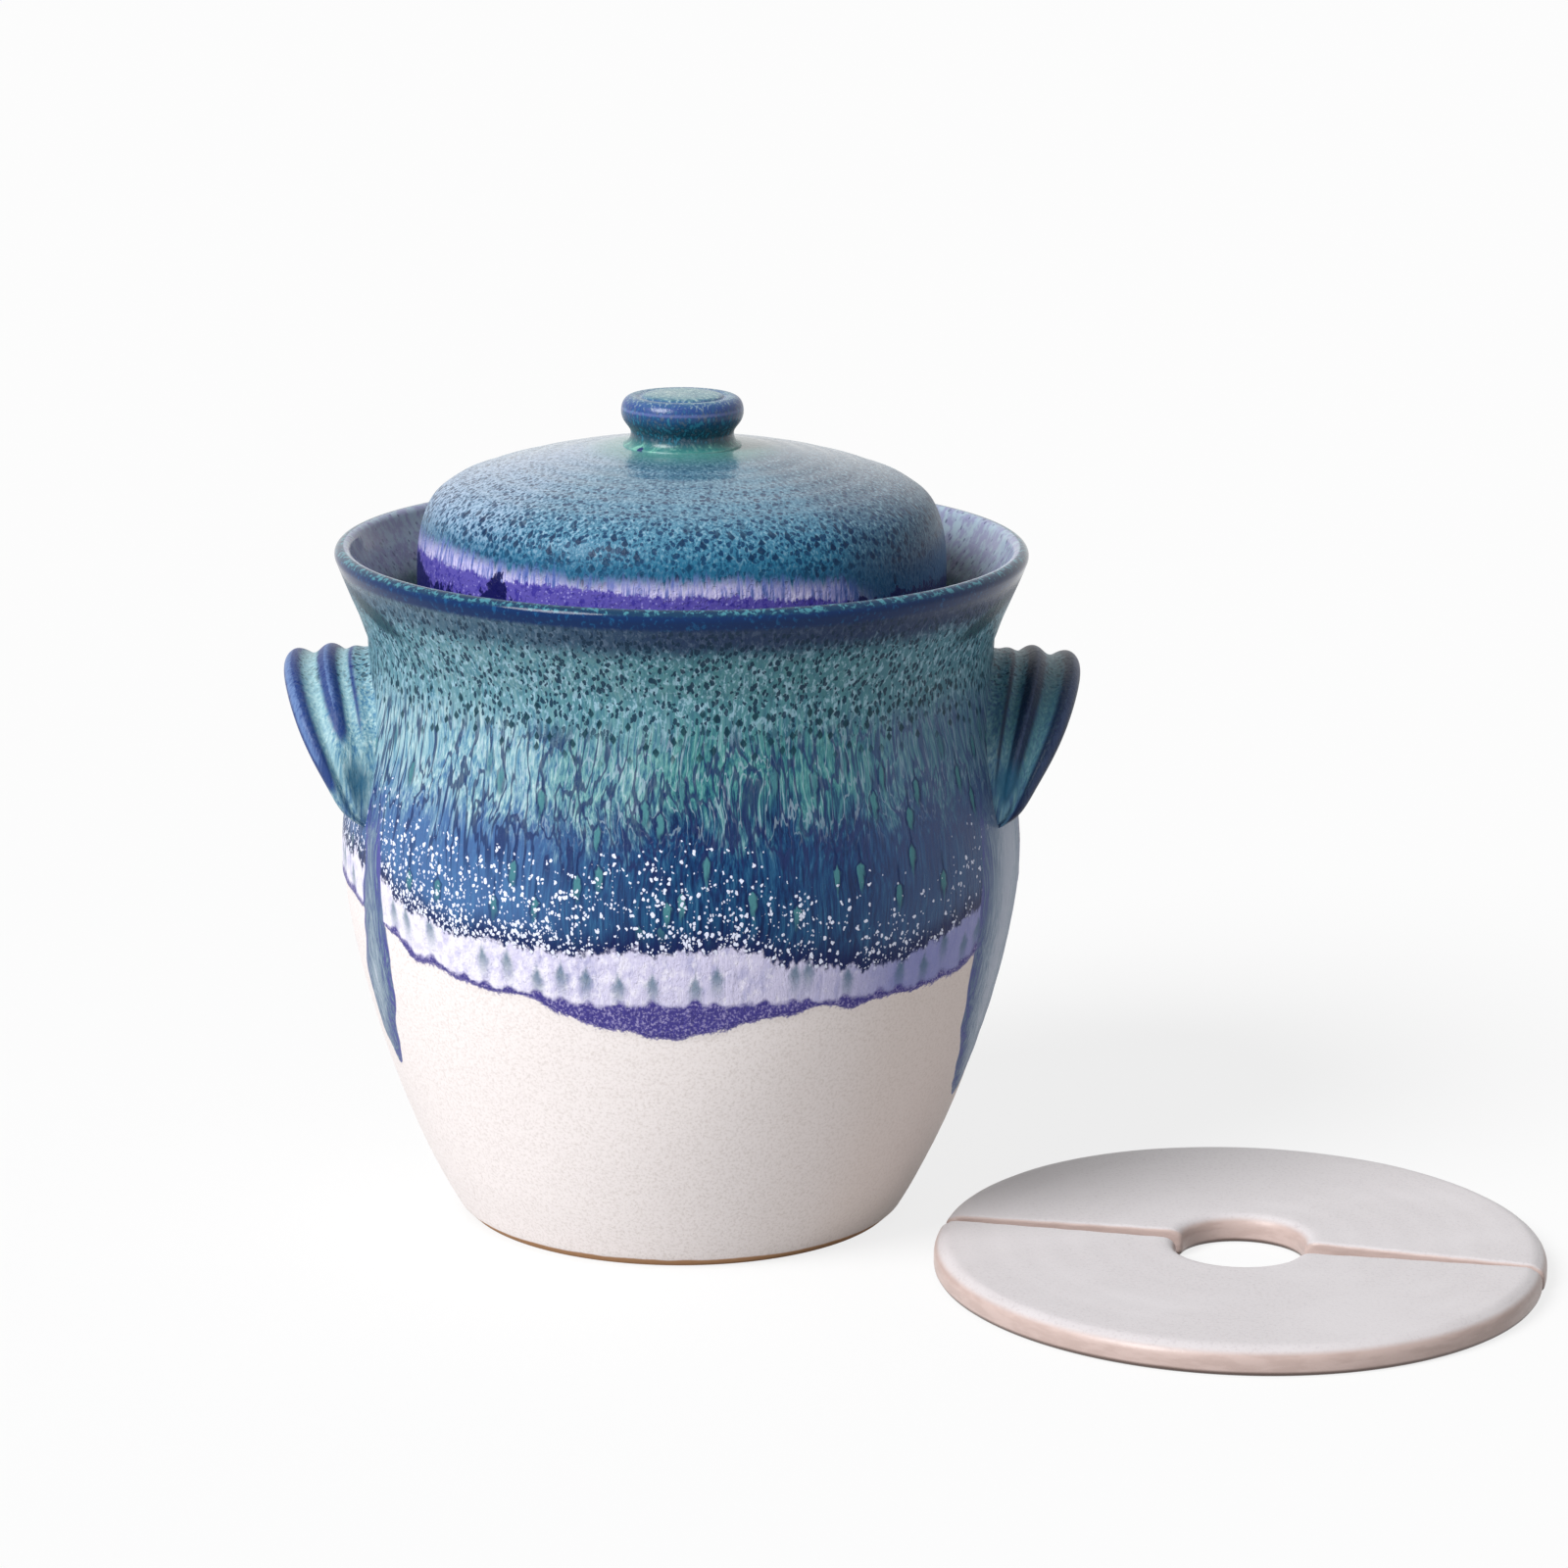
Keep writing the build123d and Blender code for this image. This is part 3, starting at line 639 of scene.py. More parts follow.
crock = {
    "footRadius": 68.5, "footBevel": 3.0, "bellyRadius": 106.6, "bellyHeight": 119.0,
    "neckRadius": 97.4, "neckHeight": 180.0, "lipCentre": 105.3, "lipHeight": 211.2, "lipRadius": 2.7, "lipLean": 20,
    "wall": 7.0, "floor": 9.0, "gutterRadius": 91.0, "gutterFloor": 188.0, "gutterRound": 4.0,
    "throatRadius": 66.0, "throatRound": 2.0, "ledgeRound": 9.0, "steps": 288,
    # how far the profile's curves pull away from the foot, below the belly, over the neck and under the lip
    "footPull": (21.8, 36.6), "bellyPull": 25.8, "neckPull": 10.0, "lipPull": 10.3,
    # how far the glaze stands off the clay, on the body, in the bead at its edge and in the long drips
    "glazeThick": 0.3, "edgeBead": 0.25, "dripThick": 0.75, "glazeFrom": 8.0,
    # how uneven the hand left the clay, the throwing marks, and the groove under the neck: height, width, depth
    "uneven": 0.35, "throwingMark": 0.015, "groove": (185.5, 1.6, 0.35),
    # dark crescents under the rim, over the handles: angle, height, width in degrees, height in mm, slope
    "crescent": (64, 199.2, 9, 3.4, 0.45),
    # by angle: heights of the glaze's lower edge, of the violet pool's top over that edge and of the band's top
    "glazeLine": ((-180, 88), (-165, 92), (-150, 90), (-135, 96), (-120, 101), (-105, 108), (-90, 110),
                  (-75, 109), (-62, 106), (-55, 103), (-50, 97), (-45, 97.8), (-40, 95), (-33, 93.4),
                  (-27, 93.6), (-18.4, 87.7), (-11.5, 84.8), (-2, 82.6), (4.5, 84), (11.3, 87.6),
                  (17, 89), (24.3, 91), (30, 88.5), (36, 91), (43, 90.7), (54, 92.3), (60, 96), (75, 106),
                  (90, 109), (105, 107), (120, 99), (135, 94), (150, 90), (165, 86), (180, 88)),
    "violetRun": ((-180, 1.5), (-160, 3), (-140, 1), (-100, 1.5), (-80, 3), (-60, 1), (-50, 2.4), (-44, 1.5),
                  (-28, 1.2), (-18, 5), (-11, 8), (-4, 10.6), (2, 10.4), (11, 6), (17, 4), (24, 1.6),
                  (30, 3.6), (36, 1.4), (50, 1.5), (70, 2), (90, 3.5), (120, 1.4), (150, 2), (166, 4.5),
                  (180, 1.5)),
    "bandTop": ((-180, 110), (-150, 108), (-120, 114), (-90, 123), (-70, 122), (-57.5, 119), (-51, 113.6),
                (-41, 110), (-21, 109.3), (1, 111.4), (7.5, 111.5), (18, 105.7), (29, 102), (39.5, 102),
                (47, 105.5), (58, 110.3), (75, 121), (105, 122), (120, 113), (150, 107), (180, 110)),
    # by angle: how pale the hairs are, partly the glaze's own and partly painted sheen on the side towards the
    # softbox, and how much painted shade darkens the side away from it
    "pale": ((-180, 0.3), (-120, 0.45), (-85, 0.7), (-50, 0.95), (-32, 0.8), (-14, 0.45), (2, 0.22), (30, 0.12),
             (60, 0.2), (100, 0.3), (150, 0.45), (180, 0.3)),
    "paintedShade": ((-180, 0.3), (-100, 0.05), (-20, 0), (8, 0.08), (24, 0.35), (45, 0.8), (60, 1), (100, 0.8), (150, 0.4),
             (180, 0.3)),
    # each long drip: (height, angle of its middle, half its width in mm), from its tip up
    "drips": (((54.5, -67.2, 0), (57.5, -67.4, 3.2), (66, -68.2, 8.0), (83, -66.4, 11.5), (98, -63.8, 8.8),
               (110, -62.8, 6.9), (123, -62, 5.4), (135, -63.4, 5.0)),
              ((42, 71.5, 0), (45, 71.3, 4), (49, 71, 7), (58, 71, 11), (73, 70.6, 16.5), (87, 70.6, 19),
               (120, 71, 20), (135, 71, 19)),
              ((68, -113, 0), (71, -113, 2.6), (82, -113.6, 6), (100, -114, 11), (135, -113, 14)),
              ((60, 114, 0), (63, 114, 2.6), (74, 113.4, 5.6), (96, 113, 10), (135, 113.5, 14))),
    "dripRadius": 100, "dripReach": 20, "dripBelow": 6, "noDrip": -9.0,
}


def crockProfile():
    # From the middle of the foot up the outside, over the lip, and down the inside to the floor
    c = crock
    foot = (c["footRadius"] + c["footBevel"], c["footBevel"])
    belly, neck = (c["bellyRadius"], c["bellyHeight"]), (c["neckRadius"], c["neckHeight"])
    lean = (sin(radians(c["lipLean"])), cos(radians(c["lipLean"])))
    lipOut = (c["lipCentre"] + c["lipRadius"] * lean[1], c["lipHeight"] - c["lipRadius"] * lean[0])
    lipIn = (c["lipCentre"] - c["lipRadius"] * lean[1], c["lipHeight"] + c["lipRadius"] * lean[0])
    pull = (lean[0] * c["lipPull"], lean[1] * c["lipPull"])
    rise = (neck[1] - belly[1]) / 3
    side = curveRun((foot, (foot[0] + c["footPull"][0], foot[1] + c["footPull"][1]),
                     (belly[0], belly[1] - c["bellyPull"]), belly), 84)
    shoulder = curveRun((belly, (belly[0], belly[1] + rise), (neck[0], neck[1] - rise), neck), 46)
    flare = curveRun((neck, (neck[0], neck[1] + c["neckPull"]),
                      (lipOut[0] - pull[0], lipOut[1] - pull[1]), lipOut), 22)
    lip = arcRun((c["lipCentre"], c["lipHeight"]), c["lipRadius"], -c["lipLean"], 180 - c["lipLean"], 16)
    gutter = (c["gutterRadius"], c["gutterFloor"])
    inner = curveRun((lipIn, (lipIn[0] - pull[0], lipIn[1] - pull[1]), (gutter[0], gutter[1] + 10), gutter), 20)
    inner = [point for point in inner if point[1] > gutter[1] + c["gutterRound"] + 0.5]
    corner = arcRun((gutter[0] - c["gutterRound"], gutter[1] + c["gutterRound"]), c["gutterRound"], 0, -90, 6)
    throat, under, small, large = c["throatRadius"], c["neckHeight"], c["throatRound"], c["ledgeRound"]
    ledge = [(throat + 8, gutter[1]), (throat + 6.5, gutter[1]), (throat + 0.4, gutter[1]),
             (throat, gutter[1] - 0.4), (throat, gutter[1] - 5), (throat, gutter[1] - 6)]
    ledge += arcRun((throat + small, under + small), small, 180, 270, 4)[1:] + [(throat + 8, under)]
    ledge += arcRun((neck[0] - c["wall"] - large, under - large), large, 90, 0, 6)
    inside = [(radius - c["wall"], height) for radius, height in reversed(side[::3] + shoulder[1::3])]
    inside = [point for point in inside if 24 < point[1] < under - large - 3]
    floor = c["floor"]
    base = curveRun((inside[-1], (inside[-1][0] - 3, 17), (69, floor), (56, floor)), 8)[1:]
    base += [(40, floor), (20, floor), (0, floor)]
    bottom = [(0, 0), (30, 0), (60, 0), (c["footRadius"] - 0.4, 0), (c["footRadius"], 0.1)]
    bottom += [(foot[0] - 0.2, foot[1] - 0.25)]
    return bottom + side + shoulder[1:] + flare[1:] + lip[1:] + inner[1:] + corner + ledge + inside + base


def dripInside(drip, angle, height):
    # How far a place lies inside a long drip, in mm
    if height < drip[0][0] - crock["dripBelow"] or abs(angle - drip[2][1]) > crock["dripReach"]:
        return crock["noDrip"]
    height = round(height, 1)
    middle = between(tuple((row[0], row[1]) for row in drip), height)
    half = between(tuple((row[0], row[2]) for row in drip), height)
    inside = half - abs(radians(angle - middle)) * crock["dripRadius"]
    return min(inside, height - drip[0][0]) if height < drip[1][0] else inside


def crescentField(angle, height):
    middle, level, width, tall, slope = crock["crescent"]
    aside = abs(angle) - middle
    return exp(-(aside / width) ** 2 - ((height - level - slope * aside) / tall) ** 2)


def glazeRise(place, over, inDrip, low, high):
    # How far the glazed surface stands off the thrown profile, in mm
    c, height = crock, place.z
    grooveHeight, grooveWidth, grooveDepth = c["groove"]
    rise = c["glazeThick"] * smoothStep(-0.4, 1.0, over) + c["edgeBead"] * exp(-((over - 1.4) / 1.3) ** 2)
    rise = max(rise, c["dripThick"] * smoothStep(-0.6, 4.5, inDrip) * smoothStep(150, 125, height))
    rise += c["throwingMark"] * sin(height * 0.9 + 2 * noise.noise(place / 60))
    rise += c["uneven"] * noise.noise(Vector((place.x / 45, place.y / 45, height / 40)))
    rise -= grooveDepth * exp(-((height - grooveHeight) / grooveWidth) ** 2)
    return rise * smoothStep(low, 20, height) * smoothStep(high, 196, height)


def shapeCrock():
    c = crock
    bm = turnedMesh(crockProfile(), c["steps"])
    bm.normal_update()
    layers = fieldLayers(bm, crockFields)
    low, high = c["glazeFrom"], c["lipHeight"] - 4
    for vert in bm.verts:
        x, y, height = vert.co / mm
        radius = hypot(x, y)
        angle = angleOf(x, y)
        over = height - between(c["glazeLine"], angle)
        inDrip = max(dripInside(drip, angle, height) for drip in c["drips"])
        outward = Vector((x, y, 0)).normalized()
        facing = vert.normal.dot(outward)
        setFields(vert, layers, {
            "overLine": over, "overBand": height - between(c["bandTop"], angle),
            "overViolet": over - between(c["violetRun"], angle), "inDrip": inDrip,
            "pale": between(c["pale"], angle), "paintedShade": between(c["paintedShade"], angle)})
        if height > c["gutterFloor"] - 0.5 and radius > c["throatRadius"]:
            vert[layers["inRim"]] = smoothStep(0.25, -0.30, facing)
        if facing > 0:
            vert[layers["crescent"]] = crescentField(angle, height)
        outside = radius > c["neckRadius"] - 3 if height > 150 else radius > 62 and facing > 0
        if outside and low <= height <= high:
            vert.co += outward * glazeRise(Vector((x, y, height)), over, inDrip, low, high) * mm
    for face in bm.faces:
        x, y, height = face.calc_center_median() / mm
        radius, facing = hypot(x, y), face.normal.dot(Vector((x, y, 0)))
        bowl = facing < 0 and height < 181 or radius < 62 and height > 5
        throat = radius < c["gutterRadius"] - 14 and 60 < height < c["gutterFloor"] - 0.5
        face.material_index = 2 if height < 1.2 else 1 if bowl or throat else 0
    return finishPiece(bm, "crockBody", "crock", ["crock_wall"],
                       [glazes["crock"], glazes["liner"], glazes["clay"]])


shapeCrock()

collar = {"inner": 66.0, "wall": 6.0, "bottom": 188.0, "top": 208.0, "round": 2.8, "steps": 192}


def shapeCollar():
    c = collar
    inner, outer, rounded = c["inner"], c["inner"] + c["wall"], c["round"]
    side = [(outer, c["bottom"]), (outer, c["bottom"] + 4), (outer, c["bottom"] + 12)]
    profile = [(inner, c["bottom"])] + side
    profile += arcRun((outer - rounded, c["top"] - rounded), rounded, 0, 90, 6)
    profile += arcRun((inner + rounded, c["top"] - rounded), rounded, 90, 180, 6)
    profile += [(inner, height) for radius, height in reversed(side)]
    bm = turnedMesh(profile, c["steps"])
    return finishPiece(bm, "throatCollar", "crock", ["throat_collar"], [glazes["gutter"]])


shapeCollar()

handle = {
    "halfSpan": 40.0, "footHeight": 131.0, "rise": 44.2, "thickness": 10.0, "root": 4.0,
    # (angle along the arch, share of the reach, share of the thickness)
    "stations": ((0, -0.06, 0.40), (4, 0.14, 0.52), (8, 0.29, 0.62), (14, 0.42, 0.72), (20, 0.53, 0.82),
                 (30, 0.71, 0.90), (42, 0.86, 0.96), (54, 0.94, 0.99), (66, 0.98, 1.0), (78, 1.0, 1.0)),
    # (share of the reach, share of the thickness, crest, furrow) from the outer edge over the top
    "section": ((1.0, 0.0, 0.7, 0), (0.985, 0.20, 1, 0), (0.93, 0.36, 0.9, 0), (0.87, 0.36, 0.5, 0),
                (0.81, 0.26, 0.2, 0.5), (0.75, 0.20, 0, 1), (0.69, 0.25, 0.1, 0.8), (0.64, 0.41, 0.45, 0),
                (0.59, 0.54, 0.95, 0), (0.53, 0.54, 0.8, 0), (0.48, 0.44, 0.4, 0), (0.43, 0.35, 0, 0.8),
                (0.38, 0.37, 0, 0.6), (0.33, 0.47, 0.5, 0), (0.28, 0.48, 0.15, 0), (0.22, 0.42, 0, 0.3),
                (0.12, 0.50, 0, 0), (0.02, 0.70, 0, 0), (-0.14, 1.15, 0, 0), (-0.14, -1.0, 0, 0),
                (-0.02, -0.72, 0, 0), (0.12, -0.50, 0, 0), (0.36, -0.42, 0, 0), (0.65, -0.38, 0, 0),
                (0.88, -0.34, 0.2, 0), (0.97, -0.20, 0.4, 0)),
    # the ridges flatten to this share of the thickness towards the feet
    "innerRidges": 0.72, "flat": 0.45,
    # the thumb's mark: angle from the foot, share of the reach, width in degrees and in shares, depth
    "thumb": (20, 0.5, 9, 0.25, 0.16), "smoothing": 3,
    # right and left: reach in mm, angles over which the ridges rise, how pale the glaze is, partly its own and partly
    # painted sheen on the left, and how much painted shade darkens it on the right
    "sides": {1: {"reach": 27.5, "outerFade": (0, 10), "innerFade": (6, 22), "pale": 0.25, "paintedShade": 0.75},
              -1: {"reach": 26.9, "outerFade": (10, 27), "innerFade": (31, 47), "pale": 1.0, "paintedShade": 0.0}},
}


def wallRadius(height):
    t = (height - crock["bellyHeight"]) / (crock["neckHeight"] - crock["bellyHeight"])
    return crock["bellyRadius"] - (crock["bellyRadius"] - crock["neckRadius"]) * (3 - 2 * t) * t * t


def strapPoint(side, angle, reachShare, thickShare, out, up):
    h = handle
    across = -h["halfSpan"] * cos(radians(angle))
    height = h["footHeight"] + h["rise"] * sin(radians(angle))
    radius = wallRadius(height)
    turn = asin(across / radius)
    outward = Vector((cos(turn), sin(turn), 0))
    along = Vector((0, h["halfSpan"] * sin(radians(angle)), h["rise"] * cos(radians(angle))))
    along = (along - outward * along.dot(outward)).normalized()
    normal = outward.cross(along)
    place = outward * (radius - h["root"] + (h["sides"][side]["reach"] * reachShare + h["root"]) * out)
    place += normal * h["thickness"] * thickShare * up + Vector((0, 0, height))
    return Vector((place.x * side, place.y, place.z)) * mm


def shapeHandle(name, node, side):
    h, own = handle, handle["sides"][side]
    stations = list(h["stations"]) + [(90, 1.0, 1.0)]
    stations += [(180 - angle, reach, thick) for angle, reach, thick in reversed(h["stations"])]
    bm = bmesh.new()
    layers = fieldLayers(bm, crockFields)
    ring = [bm.verts.new(strapPoint(side, *stations[0], row[0], row[1])) for row in h["section"]]
    edges = [bm.edges.new(pair) for pair in zip(ring, ring[1:] + ring[:1])]
    bmesh.ops.contextual_create(bm, geom=edges)
    rings = [ring]
    for station in stations[1:]:
        fresh = bmesh.ops.extrude_edge_only(bm, edges=edges)["geom"]
        freshVerts = {item for item in fresh if isinstance(item, bmesh.types.BMVert)}
        ring = [next(edge.other_vert(vert) for edge in vert.link_edges if edge.other_vert(vert) in freshVerts)
                for vert in ring]
        edges = [bm.edges.get(pair) for pair in zip(ring, ring[1:] + ring[:1])]
        rings.append(ring)
    bmesh.ops.contextual_create(bm, geom=edges)
    thumbAngle, thumbOut, thumbLong, thumbWide, thumbDeep = h["thumb"]
    for ring, (angle, reach, thick) in zip(rings, stations):
        fromFoot = min(angle, 180 - angle)
        for vert, (out, up, crest, furrow) in zip(ring, h["section"]):
            fade = smoothStep(*own["innerFade" if out < h["innerRidges"] else "outerFade"], fromFoot)
            thumb = exp(-((fromFoot - thumbAngle) / thumbLong) ** 2 - ((out - thumbOut) / thumbWide) ** 2)
            thumb = thumb if up > 0 else 0
            if up > 0 and 0.1 < out < h["innerRidges"]:
                up = h["flat"] + (up - h["flat"]) * fade
            vert.co = strapPoint(side, angle, reach, thick, out, up - thumbDeep * thumb)
            setFields(vert, layers, {
                "strap": 1.0, "crest": crest * fade, "furrow": furrow * fade, "thumb": thumb, "overLine": 40.0,
                "overBand": 60.0, "overViolet": 40.0, "inDrip": crock["noDrip"], "pale": own["pale"],
                "paintedShade": own["paintedShade"]})
    piece = finishPiece(bm, name, "crock", [node], [glazes["crock"]])
    soften = piece.modifiers.new("soften", "SUBSURF")
    soften.levels = soften.render_levels = h["smoothing"]
    return piece


shapeHandle("rightHandle", "handle_right", 1)
shapeHandle("leftHandle", "handle_left", -1)

lid = {
    "skirtRadius": 81.3, "skirtBottom": 188.3, "skirtRound": 2.0, "bulgeRadius": 82.6, "bulgeHeight": 204.0,
    "shoulderRadius": 72.5, "shoulderHeight": 232.0, "slope": 32.0, "shoulderPull": 10.0,
    "crown": 245.4, "crownFlat": 33.0, "wall": 6.0, "steps": 256, "throwingMark": 0.12, "uneven": 0.25,
    # by angle: heights of the tops of the lavender band, the violet pool and the navy in it
    "bandTop": ((-180, 217), (-120, 219), (-81, 218), (-63, 219.6), (-49, 218.8), (-41, 217.8), (-33, 217.6),
                (-20, 216.2), (-9, 217.1), (10, 217.8), (18, 216.2), (34, 215), (41, 212.2), (60, 209), (120, 212),
                (180, 217)),
    "violetTop": ((-180, 211), (-120, 213), (-69, 214.6), (-50, 214.6), (-44, 213.6), (-35, 214.4), (-20, 214.4),
                  (-9, 213.2), (12, 212.8), (21, 211.5), (41, 208.3), (77, 206.5), (130, 208), (180, 211)),
    "navyTop": ((-180, 206), (-100, 207.5), (-79, 212), (-72, 207), (-51, 207.5), (-45.5, 209), (-43.5, 215.5),
                (-41.5, 216), (-39.5, 209.5), (-37, 205.5), (20, 205), (40, 207.6), (50, 208.2), (64, 208), (77, 207),
                (120, 205), (180, 206)),
    # by angle: how pale the crown is, partly the glaze's own and partly painted reflection on the side towards the
    # softbox, how plain the band and the pool show, and how much painted shade darkens the side away from it
    "pale": ((-180, 0.4), (-120, 0.7), (-90, 1.0), (-55, 0.8), (-25, 0.4), (0, 0.15), (40, 0.0), (80, 0.2),
             (180, 0.4)),
    "bandStrength": ((-180, 1), (-100, 1), (-60, 1), (30, 1), (50, 0.0), (110, 0.0), (140, 1), (180, 1)),
    "paintedShade": ((-180, 0.3), (-90, 0.1), (-50, 0), (10, 0), (30, 0.3), (45, 0.8), (60, 1), (110, 0.8), (150, 0.4),
             (180, 0.3)),
}


def lidSkin(inset):
    # From the skirt up to the middle of the crown, inset mm inside the outer surface
    c = lid
    normal = (sin(radians(c["slope"])), cos(radians(c["slope"])))
    skirt = (c["skirtRadius"] - inset, c["skirtBottom"] + c["skirtRound"])
    bulge = (c["bulgeRadius"] - inset, c["bulgeHeight"])
    shoulder = (c["shoulderRadius"] - normal[0] * inset, c["shoulderHeight"] - normal[1] * inset)
    crown = (0, c["crown"] - inset)
    pull = (normal[1] * c["shoulderPull"], normal[0] * c["shoulderPull"])
    out = (shoulder[0] + pull[0], shoulder[1] - pull[1])
    back = (shoulder[0] - pull[0], shoulder[1] + pull[1])
    run = curveRun((skirt, (skirt[0] + 0.4, skirt[1] + 5), (bulge[0], bulge[1] - 6), bulge), 12)
    run += curveRun((bulge, (bulge[0], bulge[1] + 14), out, shoulder), 30)[1:]
    return run + curveRun((shoulder, back, (c["crownFlat"], crown[1]), crown), 40)[1:]


def shapeLid():
    c = lid
    skin, hollow = lidSkin(0), lidSkin(c["wall"])
    skin[-1] = (0, c["crown"])
    rounded = c["skirtRound"]
    edge = arcRun((c["skirtRadius"] - rounded, c["skirtBottom"] + rounded), rounded, 0, -90, 5)
    edge += arcRun((c["skirtRadius"] - c["wall"] + rounded, c["skirtBottom"] + rounded), rounded, -90, -180, 5)
    bm = turnedMesh(list(reversed(skin)) + edge[1:] + hollow[1:], c["steps"])
    layers = fieldLayers(bm, lidFields)
    for vert in bm.verts:
        x, y, height = vert.co / mm
        radius, angle = hypot(x, y), angleOf(x, y)
        setFields(vert, layers, {
            "overBand": height - between(c["bandTop"], angle), "overViolet": height - between(c["violetTop"], angle),
            "overNavy": height - between(c["navyTop"], angle), "bandStrength": between(c["bandStrength"], angle),
            "paintedShade": between(c["paintedShade"], angle), "pale": between(c["pale"], angle)})
        if height > 200 and radius > 24:
            ripple = c["throwingMark"] * sin(radius * 0.75) + c["uneven"] * noise.noise(Vector((x, y, height)) / 38)
            vert.co += vert.normal * ripple * mm * smoothStep(24, 34, radius)
    for face in bm.faces:
        x, y, height = face.calc_center_median() / mm
        facing = face.normal.dot(Vector((x, y, 0)))
        under = face.normal.z < -0.02 and height > 191 and facing < 0 or face.normal.z < -0.5
        inner = hypot(x, y) < c["bulgeRadius"] - 4 and height < c["crown"] - 4 and facing <= 0
        face.material_index = 1 if under or inner else 0
    return finishPiece(bm, "lidDome", "lid", ["lid_dome"], [glazes["lid"], glazes["liner"]])


shapeLid()

knob = {
    "seat": 244.7, "sunk": 0.6, "steps": 160,
    # curves from the foot ring up to the button: (steps, four corners as radius and height over the seat)
    "curves": ((10, ((18.4, 0.3), (17.2, 0.7), (16.1, 1.6), (16.0, 3.8))),
               (14, ((16.0, 3.8), (16.0, 6.0), (19.0, 7.0), (19.0, 10.6))),
               (12, ((19.0, 10.6), (19.0, 13.6), (17.4, 15.3), (15.4, 15.3))),
               (6, ((15.4, 15.3), (14.0, 15.3), (13.6, 14.9), (12.8, 14.9))),
               (14, ((12.8, 14.9), (12.5, 16.0), (9.0, 16.2), (0, 16.2)))),
}


def shapeKnob():
    seat, foot = knob["seat"], knob["curves"][0][1][0][0]
    profile = [(0, seat - knob["sunk"]), (foot, seat - knob["sunk"])]
    for number, (steps, corners) in enumerate(knob["curves"]):
        profile += curveRun([(radius, seat + rise) for radius, rise in corners], steps)[min(number, 1):]
    bm = turnedMesh(profile, knob["steps"])
    return finishPiece(bm, "lidKnob", "lid", ["lid_knob"], [glazes["knob"]])


shapeKnob()

weight = {
    "radius": 93.4, "hole": 19.0, "thickness": 9.0, "topRound": 4.0, "bottomRound": 2.0, "turn": -13.9,
    "steps": 120, "topSteps": 40, "rimDrop": 0.6, "cutRadius": 1.6, "cutRound": (0.0, 0.15, 0.5, 1.0, 1.6, 2.4),
    "throwingMark": 0.05, "uneven": 0.08, "outOfRound": 0.0022,
}


def shapeWeight(name, body, node, side, centre, rimLeft, holeLeft, holeRight, rimRight):
    # Half a ring, cut along a line that may lean: its ends lie this far past the middle at the rim and the hole
    w = weight
    hole, rim, thick, top, low = w["hole"], w["radius"], w["thickness"], w["topRound"], w["bottomRound"]
    flat, count = rim - 5.0, w["topSteps"]
    profile = arcRun((hole + top, thick - top), top, 180, 90, 5)
    profile += [(hole + top + (flat - hole - top) * step / count, thick) for step in range(1, count + 1)]
    profile += [(rim - 3.4, thick - 0.35)]
    profile += arcRun((rim - top, thick - top - w["rimDrop"]), top, 72, 0, 5)
    profile += arcRun((rim - low, low), low, 0, -90, 4)
    profile += [(flat - 30 * step, 0) for step in range(3)] + [(hole + 5, 0)]
    profile += arcRun((hole + low, low), low, -90, -180, 4)
    bm = bmesh.new()
    chain = [bm.verts.new((radius * mm, 0, height * mm)) for radius, height in profile]
    edges = [bm.edges.new(pair) for pair in zip(chain, chain[1:] + chain[:1])]
    bmesh.ops.spin(bm, geom=chain + edges, cent=(0, 0, 0), axis=(0, 0, 1), angle=pi, steps=w["steps"])
    bmesh.ops.holes_fill(bm, edges=[edge for edge in bm.edges if edge.is_boundary])
    ends, last = w["cutRound"], w["steps"]
    middle, halfWidth = (rim + hole) / 2, (rim - hole) / 2
    for vert in bm.verts:
        x, y, height = vert.co / mm
        radius = hypot(x, y)
        step = abs(round(atan2(y, x) / pi * last))
        away = ends[min(step, last - step, len(ends) - 1)]
        share = (radius - hole) / (rim - hole)
        right = side * (holeRight + (rimRight - holeRight) * share) + (away if step < last / 2 else ends[-1])
        left = side * (holeLeft + (rimLeft - holeLeft) * share) + (away if step > last / 2 else ends[-1])
        first, final = asin(right / radius), pi - asin(left / radius)
        along = (step - len(ends) + 1) / (last - 2 * len(ends) + 2)
        angle = first + (final - first) * min(1.0, max(0.0, along))
        # Round the cut's edges
        tuck = w["cutRadius"] * (1 - (1 - (1 - min(1.0, away / w["cutRadius"])) ** 2) ** 0.5)
        radius = middle + (radius - middle) * (halfWidth - tuck) / halfWidth
        marks = w["throwingMark"] * sin(radius * 0.55 + 0.4)
        marks += w["uneven"] * noise.noise(Vector((x / 20, y / 20, side)))
        height += marks * smoothStep(thick - 1.5, thick - 0.2, height) * smoothStep(hole + 2, hole + 8, radius)
        height -= tuck * height / thick * 0.85 - tuck * 0.4 * (1 - height / thick)
        radius *= 1 + w["outOfRound"] * noise.noise(Vector((cos(angle) * 1.4, sin(angle) * 1.4, side)))
        place = Vector((radius * cos(angle), side * radius * sin(angle), 0))
        place.rotate(Matrix.Rotation(radians(w["turn"]), 3, "Z"))
        vert.co = (place + Vector((*centre, height))) * mm
    return finishPiece(bm, name, body, [node], [glazes["weight"]])


shapeWeight("backWeight", "back_weight", "weight_back", 1, (173.8, -66.0), -1.5, 1.0, -0.5, -6.0)
shapeWeight("frontWeight", "front_weight", "weight_front", -1, (171.5, -73.2), 1.5, 1.5, -3.0, 0.5)

studio = {
    "floorSize": 24.0, "floorSeen": 0.80, "floorGlow": 0.80, "floorBounce": 0.60, "worldFill": 0.32,
    "keyAzimuth": -50, "keyElevation": 40, "keySpread": 30, "keyPower": 3.8,
    "cameraPlace": (0, -1.51767, 0.507), "pitch": 13.7249, "yaw": 1.21944, "roll": 0.42337,
    "sensor": 36.0, "lens": 113.74,
}


